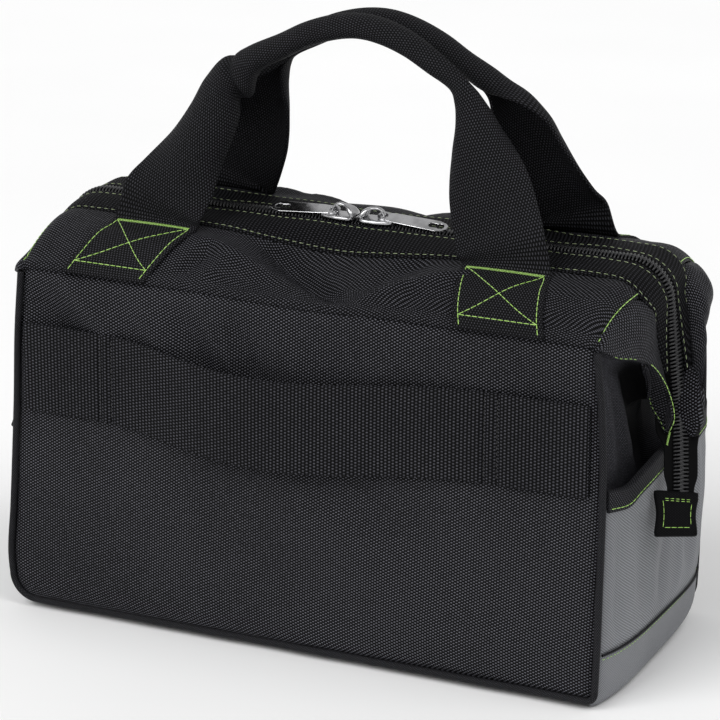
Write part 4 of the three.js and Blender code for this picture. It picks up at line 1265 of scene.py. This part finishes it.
def handle_grid(face):
    """Outer face of a handle from the left foot to the right foot, coarse stations by shares across."""
    shares = np.linspace(-1, 1, 41)
    foot_shift, grip_shift, drop, tilt = LEAN[face]
    y, z = HANDLE_ROUTE[:, 4:].T
    t = (z - z[0]) / (z[-1] - z[0])
    middles, rolls, pinches = [], [], []
    for side in (LEFT, RIGHT):
        first = 2 if side == face else 0
        halves = WIDE_LEG[face] if side == face else 0
        outer, inner = HANDLE_PINCH[:, halves:halves + 2].T[..., None]
        pinch = np.where(shares * face < 0, outer, inner)
        pinches.append(pinch if side == LEFT else pinch[::-1][1:])
        x, roll = HANDLE_ROUTE[:, first], HANDLE_ROUTE[:, first + 1]
        low = (drop + tilt * side * x) * t
        path = np.stack([side * x + lerp(foot_shift, grip_shift, t), face * y, z - low], 1)
        middles.append(path if side == LEFT else path[::-1][1:])
        rolls.append(roll if side == LEFT else roll[::-1][1:])
    path, roll, pinch = np.concatenate(middles), np.concatenate(rolls), np.concatenate(pinches)
    feet = {side: foot_rows(face, side, shares) for side in (LEFT, RIGHT)}
    whole = np.concatenate([feet[LEFT].mean(1), path, feet[RIGHT][::-1].mean(1)])
    tangent = unit(np.gradient(whole, axis=0))[FOOT_STATIONS:-FOOT_STATIONS]
    facing = np.stack([
        np.zeros(len(path)),
        face * lerp(LEG_FACING[0], GRIP_FACING[0], roll),
        lerp(LEG_FACING[1], GRIP_FACING[1], roll),
    ], 1)
    out = unit(facing - tangent * (facing * tangent).sum(1, keepdims=True))
    across = unit(np.cross(out, tangent))
    bend = (GRIP_ROLL * roll)[:, None]
    radius = lerp(WEBBING, GRIP_WIDTH, roll)[:, None] / 2 / bend
    spread = lerp(1, GRIP_SPREAD, roll)[:, None] * radius + WEBBING_THICK / 2
    rise = lerp(1, GRIP_SQUASH, roll)[:, None] * radius
    angle = shares * bend
    sideways = spread * np.sin(angle) * pinch
    height = (rise + WEBBING_THICK / 2) * np.cos(angle) - rise * np.sin(bend) / bend
    free = path[:, None] + across[:, None] * sideways[..., None] + out[:, None] * height[..., None]
    return np.concatenate([feet[LEFT], free, feet[RIGHT][::-1]])


def foot_rows(face, side, shares):
    """The sewn foot lies on the slope, square to its own run."""
    made = []
    for t in steps(FOOT_STATIONS - 1):
        middle = side * lerp(FOOT_LOW_X, FOOT_HIGH_X, t) + LEAN[face][0]
        x = middle - shares * side * face * WEBBING / 2
        v = np.array([lerp(FOOT_LOW, FOOT_HIGH, t**FOOT_POWER)])
        rows = np.zeros((len(shares), ZIP.shape[1]))
        rows[:, 0] = rows[:, SEAM] = x
        rows[:, 2] = RIDGE_Z
        rows[:, NORMAL] = UP
        rows[:, ACROSS] = (0, 1, 0)
        rows[:, BORDER] = BORDER_HALF
        low, high = slope_point(rows, face, v)[:, 0], slope_point(rows, face, v + 0.02)[:, 0]
        out = unit(np.cross(ACROSS_BAG, high - low) * -face)
        made.append(low + out * (FOOT_CLEAR + WEBBING_THICK))
    return np.array(made)


def handle(name, face):
    grid = refine(handle_grid(face), HANDLE_FINE)
    rows, columns = grid.shape[:2]
    flat = grid_normals(grid, grid - grid.mean(1, keepdims=True) + [0, face, 0.3])
    if face == FRONT:
        line = HANDLE_FINE * np.linspace(CREASE_INNER, CREASE_OUTER, columns)
        crease = bell(np.arange(rows)[:, None] - line, CREASE_HALF)
        grid = grid - flat * (CREASE_DEPTH * crease)[..., None]
    run = lengths(grid, 0).mean(1)
    laid = np.broadcast_arrays(np.linspace(-WEBBING / 2, WEBBING / 2, columns), run[:, None])
    look = {"away": flat, "reach": 0.9, "turn": True, "laid": laid, "held": "folded"}
    size, rests_on = (WEBBING * MM, run[-1] * MM), f"top_{FACE_NAMES[face]}"
    cloth(name, "webbing", grid, WEBBING_THICK, WOVEN["webbing"], size, rests_on, **look)
    return Surface(grid, flat)


STITCHED_AT = (-121.5, -114.5, 111, 118.5)  # rows of stitches that hold the band down
GROOVE, GROOVE_HALF = 1.3, 1.5
BAND_DASH, BAND_PITCH = 2.4, 3.2


def front_band(name):
    x = np.linspace(-FRONT_BAND_HALF, FRONT_BAND_HALF, 341)
    share = np.clip((x + FRONT_BAND_SEWN) / (2 * FRONT_BAND_SEWN), 0, 1)
    slack = np.sin(math.pi * share**FRONT_BAND_SKEW) ** 2
    s = steps(16)
    z = FRONT_BAND_Z + WEBBING * (s[None] - 0.5) - FRONT_BAND_DROOP * slack[:, None]
    y = front_y(x[:, None], z) - GAP - WEBBING_THICK - FRONT_BAND_LOOSE * slack[:, None]
    loose = smooth(FRONT_BAND_SEWN - np.abs(x), 0, 25)
    y = y - ripple(x[:, None] + 0 * z, z * 0.5, "front band") * loose[:, None]
    dip = sum(bell(x[:, None] - edge, GROOVE_HALF) for edge in STITCHED_AT)
    grid = np.stack(np.broadcast_arrays(x[:, None], y + GROOVE * dip, z), -1)
    material, look = WOVEN["band_webbing"], {"reach": 0.7, "turn": True}
    return cloth(name, "webbing", grid, WEBBING_THICK, material, FLAT["front band"], "front_panel", **look)


# Metal
def loft(name, sections, material):
    """A closed skin through rings of points."""
    walls, ends = rod_faces(*sections.shape[:2])
    return make_object(name, sections.reshape(-1, 3), walls.tolist() + ends.tolist(), material)


def squircle(half_width, half_height, count=28, power=0.55):
    angle = 2 * math.pi * np.arange(count) / count
    c, s = np.cos(angle), np.sin(angle)
    return half_width * np.sign(c) * np.abs(c) ** power, half_height * np.sign(s) * np.abs(s) ** power


CROWN_START, CROWN_TURN = -0.22, 1.98  # the crown follows the bail this far round, then slopes to its nose
CROWN_FALL, CROWN_FLARE = 1.8, 1.5  # how late the slope falls and spreads
CROWN_RISE = 4.2
CROWN_NOSE = (1.6, 234.4)
CROWN_HALF = {"arch": 1.5, "nose": 5}
CROWN_THICK = {"arch": 0.75, "nose": 1.9}  # half thickness
PULL_TILT = math.radians(22)  # the loose pulls lie tilted towards the front
PULL_SINK = math.tan(math.radians(3.5))  # and their far ends hang down on the zip


SLIDER_TAPER, SLIDER_TAPER_FROM = 0.27, 0.45  # the body narrows by this share, from this share of its length
SLIDER_LOW = RIDGE_Z + 1.0


def rounded(t, power, least):
    """How wide a bar with rounded ends is along its length."""
    return np.sqrt(np.clip(1 - (2 * t - 1) ** power, least, 1))


def slider(name, side):
    """Pressed body with a broad crown that the pull hangs on."""
    along = steps(24)
    half = SLIDER_HALF * (1 - SLIDER_TAPER * smooth(along, SLIDER_TAPER_FROM, 1)) * rounded(along, 8, 0.05)
    top = RIDGE_Z + SLIDER_LIFT + SLIDER_PLATE
    half_height = (top - SLIDER_LOW) / 2 * rounded(along, 10, 0.2)
    body = []
    for x, half_width, high in zip(lerp(SLIDER_NEAR, SLIDER_FAR, along), half, half_height):
        y, z = squircle(half_width, high)
        body.append(np.stack([np.full(len(y), x), y, z + (top + SLIDER_LOW) / 2], 1))
    body = loft(f"{name}_body", np.array(body) * (side, side, 1), NICKEL)
    angle = lerp(CROWN_START, CROWN_TURN, steps(16))
    bent = np.stack([BAIL_X + BAIL_R * np.cos(angle), BAIL_Z + CROWN_RISE * np.sin(angle)], 1)
    t = steps(14)[1:]
    nose_x = lerp(bent[-1, 0], CROWN_NOSE[0], t)
    nose_z = lerp(bent[-1, 1], CROWN_NOSE[1], t**CROWN_FALL)
    nose = np.stack([nose_x, nose_z], 1)
    spine = np.concatenate([bent, nose])
    flare = np.sin(math.pi * 0.62 * t**CROWN_FLARE)
    wide = np.concatenate([np.full(len(bent), CROWN_HALF["arch"]), lerp(*CROWN_HALF.values(), flare)])
    swell = smooth(t, 0.1, 0.7) * smooth(1 - t, -0.1, 0.25)
    thick = np.concatenate([np.full(len(bent), CROWN_THICK["arch"]), lerp(*CROWN_THICK.values(), swell)])
    ahead = unit(np.gradient(spine, axis=0))
    crown = []
    for (x, z), (run, rise), half_width, half_thick in zip(spine, ahead, wide, thick):
        y, r = squircle(half_width, half_thick, 20, 0.8)
        crown.append(np.stack([x + rise * r, y, z - run * r], 1))
    crown = loft(f"{name}_crown", np.array(crown) * (side, side, 1), NICKEL)
    place(body, "nickel", name)
    place(crown, "nickel")


def pull(name, side):
    """Flat plate with an eye round the crown, a slot at its far end and softened edges."""
    def ring(points):
        spline = curve.splines.new("POLY")
        spline.points.add(len(points) - 1)
        spline.use_cyclic_u = True
        for point, (x, y) in zip(spline.points, points):
            point.co = (x * MM, y * MM, 0, 1)

    def arc(x, radius, start, end, count=16):
        angle = np.linspace(start, end, count)
        return np.stack([x + radius * np.cos(angle), radius * np.sin(angle)], 1)

    curve = bpy.data.curves.new(name, "CURVE")
    curve.dimensions = "2D"
    curve.fill_mode = "BOTH"
    curve.bevel_depth = PULL_SOFT * MM
    curve.bevel_resolution = 2
    curve.extrude = (PULL_THICK / 2 - PULL_SOFT) * MM
    curve.offset = -PULL_SOFT * MM
    neck = BAIL_R + PULL_RING_R + PULL_NECK
    end = PULL_REACH - PULL_HALF
    edge = np.array([
        (neck, PULL_HALF - 0.5),
        (end - 1.5, PULL_HALF),
        (end + 2.6, PULL_HALF - PULL_TAPER),
        (PULL_REACH - 0.4, 1.6),
    ])
    eye = arc(BAIL_R, PULL_RING_R, math.pi / 3, 5 * math.pi / 3, 24)
    ring(np.concatenate([eye, edge * (1, -1), edge[::-1]]))
    ring(arc(BAIL_R, PULL_EYE_R, 0, 2 * math.pi, 25)[:-1])
    ring(np.concatenate([
        arc(end, PULL_SLOT_R + 0.3, -math.pi * 0.75, math.pi * 0.75),
        arc(end - PULL_SLOT_LENGTH, PULL_SLOT_R, math.pi * 0.4, math.pi * 1.6),
    ]))
    shape = bpy.data.objects.new(f"{name}_shape", curve)
    bpy.context.scene.collection.objects.link(shape)
    mesh = bpy.data.meshes.new_from_object(shape.evaluated_get(bpy.context.evaluated_depsgraph_get()))
    bpy.data.objects.remove(shape)
    x, y, z = np.array([v.co for v in mesh.vertices]).T / MM
    c, d = math.cos(PULL_TILT), math.sin(PULL_TILT)
    y, z = y * side * c - z * d, y * side * d + z * c
    points = np.stack([side * (x + BAIL_X), y, z + BAIL_Z - PULL_SINK * x], 1)
    faces = [list(p.vertices) for p in mesh.polygons]
    bpy.data.meshes.remove(mesh)
    piece = make_object(f"{name}_plate", points, faces, NICKEL)
    piece.data.polygons.foreach_set("use_smooth", [False] * len(faces))
    place(piece, "nickel", name, body=f"pull_{SIDE_NAMES[side]}")


# Assembly
TOPS, BORDERS, HANDLES, WINGS, TABS, BANDS, BINDINGS = {}, {}, {}, {}, {}, {}, {}
for face, face_name in FACE_NAMES.items():
    body_panel(f"{face_name}_panel", face)
    piping(f"piping_{face_name}", face)
    TOPS[face] = top_panel(f"top_{face_name}", face)
    BORDERS[face] = zip_border(f"zip_border_{face_name}", face)
    zip_tape(f"zip_tape_{face_name}", face)
    HANDLES[face] = handle(f"handle_{face_name}", face)
for side, side_name in SIDE_NAMES.items():
    side_panel(f"side_panel_{side_name}", side)
    BANDS[side] = lower_band(f"lower_band_{side_name}", side)
    trim(f"pocket_trim_{side_name}", side)
    side_cloth(
        f"pocket_{side_name}", side, (BAND_TOP + GAP, 0), (POCKET_TOP + 1, 1),
        44, 0.0, CLOTH, TWILL, "grey_twill", "left first last", FLAT["pocket"])
    BINDINGS[side] = side_cloth(
        f"pocket_binding_{side_name}", side, (POCKET_TOP, 1), (BINDING_TOP, 1),
        8, BINDING_PROUD, BINDING_THICK, WOVEN["binding"], "webbing", "", FLAT["binding"])
    for face, face_name in FACE_NAMES.items():
        WINGS[side, face] = wing(f"wing_{face_name}_{side_name}", side, face)
    TABS[side] = zip_tab(f"zip_tab_{side_name}", side)
    slider(f"zip_slider_{side_name}", side)
    pull(f"zip_pull_{side_name}", side)
base("base")
BAND = front_band("front_band")
zip_chain("zip_chain")


# Thread
def column(surface, j, rows=None):
    """A line along the rows of a surface at one column."""
    count = surface.grid.shape[0]
    at = np.linspace(0, count - 1, 4 * count) if rows is None else np.linspace(*rows, 200)
    return surface.at(at, j)


def row(surface, i, columns):
    """A line across a surface at one row, between two columns."""
    return surface.at(i, np.linspace(*columns, 200))


BORDER_ROWS = (2.2, 1.4)  # columns from the border's inner and outer edge to its stitches
MITRE_INSET = 3.2  # rows of the slope from the mitre to its stitches


def mouth_thread():
    thread = Thread()
    for surface in BORDERS.values():
        last = surface.grid.shape[1] - 1
        for at in (BORDER_ROWS[0], last - BORDER_ROWS[1]):
            thread.line(*column(surface, at), DASH, DASH_PITCH, FINE_R)
    place(thread.make("thread_mouth", PALE), "thread")


def mitre_thread():
    thread = Thread()
    for surface in TOPS.values():
        rows, columns = surface.grid.shape[:2]
        for end in (MITRE_INSET, rows - 1 - MITRE_INSET):
            points, normals = row(surface, end, (1.6, columns - 1.6))
            thread.line(points + normals * THREAD_R, normals)
    place(thread.make("thread_mitres", LIME), "thread")


# Rows of stitches on a wing. Columns: column of its grid, start and end as shares of its length, length of a
# stitch, pitch and radius
WING_ROWS = (
    (HEM_COLUMNS + 0.3, 0.12, 0.4, DASH, DASH_PITCH, FINE_R),
    (HEM_COLUMNS + 0.3, 0.58, 1, RUN, RUN_PITCH, THREAD_R),
    (0.8, 0.6, 1, DASH * 0.7, DASH_PITCH * 0.7, FINE_R),
)
BARTACK = 0.6  # share of one station of the zip that the bartack below a wing takes up


def wing_thread():
    thread = Thread()
    for surface in WINGS.values():
        last = surface.grid.shape[0] - 1
        for at, start, end, *stitch in WING_ROWS:
            thread.line(*column(surface, at, (start * last, end * last)), *stitch)
    for side in (LEFT, RIGHT):
        top, low = (station(side, SIDE_START + WING_END_ROW + k) for k in (0, 1))
        rows = np.stack([top, lerp(top, low, BARTACK)])
        ends = zip_point(rows, FRONT * np.array([TAPE_HALF, FREE_TAPE_HALF - 1]), 1.0)
        thread.bar(*ends, unit(top[NORMAL]), 1.6)
    place(thread.make("thread_wings", LIME), "thread")


BOX_LOW, BOX_TOP = 0.19, 0.96  # the stitched box's lower and upper edge, as shares of the foot
BOX_LEFT, BOX_RIGHT = 0.05, 0.95  # and its sides, as shares of the webbing


def handle_thread():
    thread = Thread()
    sewn = (FOOT_STATIONS - 1) * HANDLE_FINE
    bars = 16
    for surface in HANDLES.values():
        rows, columns = surface.grid.shape[:2]
        left, right = BOX_LEFT * (columns - 1), BOX_RIGHT * (columns - 1)
        for mirrored in (False, True):
            places = (0, BOX_LOW * sewn, BOX_TOP * sewn)
            foot, low, top = (rows - 1 - place if mirrored else place for place in places)
            lines = (
                ((foot, left), (top, left)),
                ((foot, right), (top, right)),
                ((low, left), (low, right)),
                ((low, left), (top, right)),
                ((low, right), (top, left)),
            )
            for start, end in lines:
                thread.line(*surface.line(start, end))
            ends, normals = surface.line((top, left), (top, right), bars)
            for k in range(bars):
                thread.bar(ends[k], ends[k + 1], normals[k])
    place(thread.make("thread_handles", LIME), "thread")


TAB_ROWS, TAB_COLUMNS = (4, 19.5), (3.2, 20.8)  # grid places of the tab's stitched square


def side_thread():
    thread = Thread()
    for side in (LEFT, RIGHT):
        thread.line(*column(BINDINGS[side], 1.3), RUN, RUN_PITCH, THREAD_R * 0.9)
        thread.line(*column(BANDS[side], 1.4), SMALL_DASH, SMALL_PITCH, THREAD_R * 0.8)
        tab = TABS[side]
        (low, high), (left, right) = TAB_ROWS, TAB_COLUMNS
        corners = [(high, left), (low, left), (low, right), (high, right)]
        for start, end in zip(corners, corners[1:]):
            thread.line(*tab.line(start, end), RUN, RUN_PITCH, FINE_R)
        for a in (high, high + 1.2):
            thread.line(*tab.line((a, left), (a - 0.4, right)), SMALL_DASH, SMALL_PITCH, FINE_R)
    place(thread.make("thread_sides", LIME), "thread")


def band_thread():
    thread = Thread()
    for x in STITCHED_AT:
        at = (x + FRONT_BAND_HALF) / (2 * FRONT_BAND_HALF) * (BAND.grid.shape[0] - 1)
        thread.line(*row(BAND, at, (0.6, BAND.grid.shape[1] - 1.6)), BAND_DASH, BAND_PITCH)
    place(thread.make("thread_band", BLACK_THREAD), "webbing")


mouth_thread()
mitre_thread()
wing_thread()
handle_thread()
side_thread()
band_thread()


# Studio
FLOOR_HALF = 20.0
CAMERA_AZIMUTH, CAMERA_ELEVATION = 25.275, 18.288
CAMERA_DISTANCE = 1.975
CAMERA_LENS = 175.76
CAMERA_AIM = (0.0006, 0.0, 0.1508)
LAMP_SPREAD = math.radians(40)
# Columns: azimuth and elevation in degrees, and strength
LAMPS = {"key": (-25, 42, 1.52), "fill": (80, 55, 0.75)}
SKY_STRENGTH = 0.52


def direction(azimuth, elevation):
    a, e = math.radians(azimuth), math.radians(elevation)
    return Vector((math.sin(a) * math.cos(e), -math.cos(a) * math.cos(e), math.sin(e)))


def studio_floor():
    n = Nodes("floor", 0.9)
    tone = n.ramp(n.noise(3.0), 0.3, 0.7)
    n.colour(tone, (0.95, 0.95, 0.95, 1), (0.97, 0.97, 0.97, 1))
    corners = [(x, y, 0) for x, y in ((-1, -1), (1, -1), (1, 1), (-1, 1))]
    floor = make_object("floor", np.array(corners) * FLOOR_HALF / MM, [[0, 1, 2, 3]], n.material)


def aimed(name, data, azimuth, elevation, distance=1.0):
    """A lamp or a camera that looks at the bag from a direction."""
    item = bpy.data.objects.new(name, data)
    back = direction(azimuth, elevation)
    item.location = Vector(CAMERA_AIM) + back * distance
    item.rotation_euler = back.to_track_quat("Z", "Y").to_euler()
    bpy.context.scene.collection.objects.link(item)
    return item


def studio_light():
    """A bright room and two lamps, each as soft as a wide lamp nearby."""
    world = bpy.data.worlds.new("studio")
    bpy.context.scene.world = world
    world.use_nodes = True
    sky = world.node_tree.nodes["Background"].inputs
    sky["Color"].default_value = (1, 1, 1, 1)
    sky["Strength"].default_value = SKY_STRENGTH
    for name, (azimuth, elevation, strength) in LAMPS.items():
        light = bpy.data.lights.new(name, "SUN")
        light.angle = LAMP_SPREAD
        light.energy = strength
        aimed(name, light, azimuth, elevation)


def studio_camera():
    data = bpy.data.cameras.new("camera")
    data.lens = CAMERA_LENS
    data.sensor_width = 36
    camera = aimed("camera", data, CAMERA_AZIMUTH, CAMERA_ELEVATION, CAMERA_DISTANCE)
    bpy.context.scene.camera = camera


studio_floor()
studio_light()
studio_camera()
bpy.context.scene.view_settings.view_transform = "Standard"
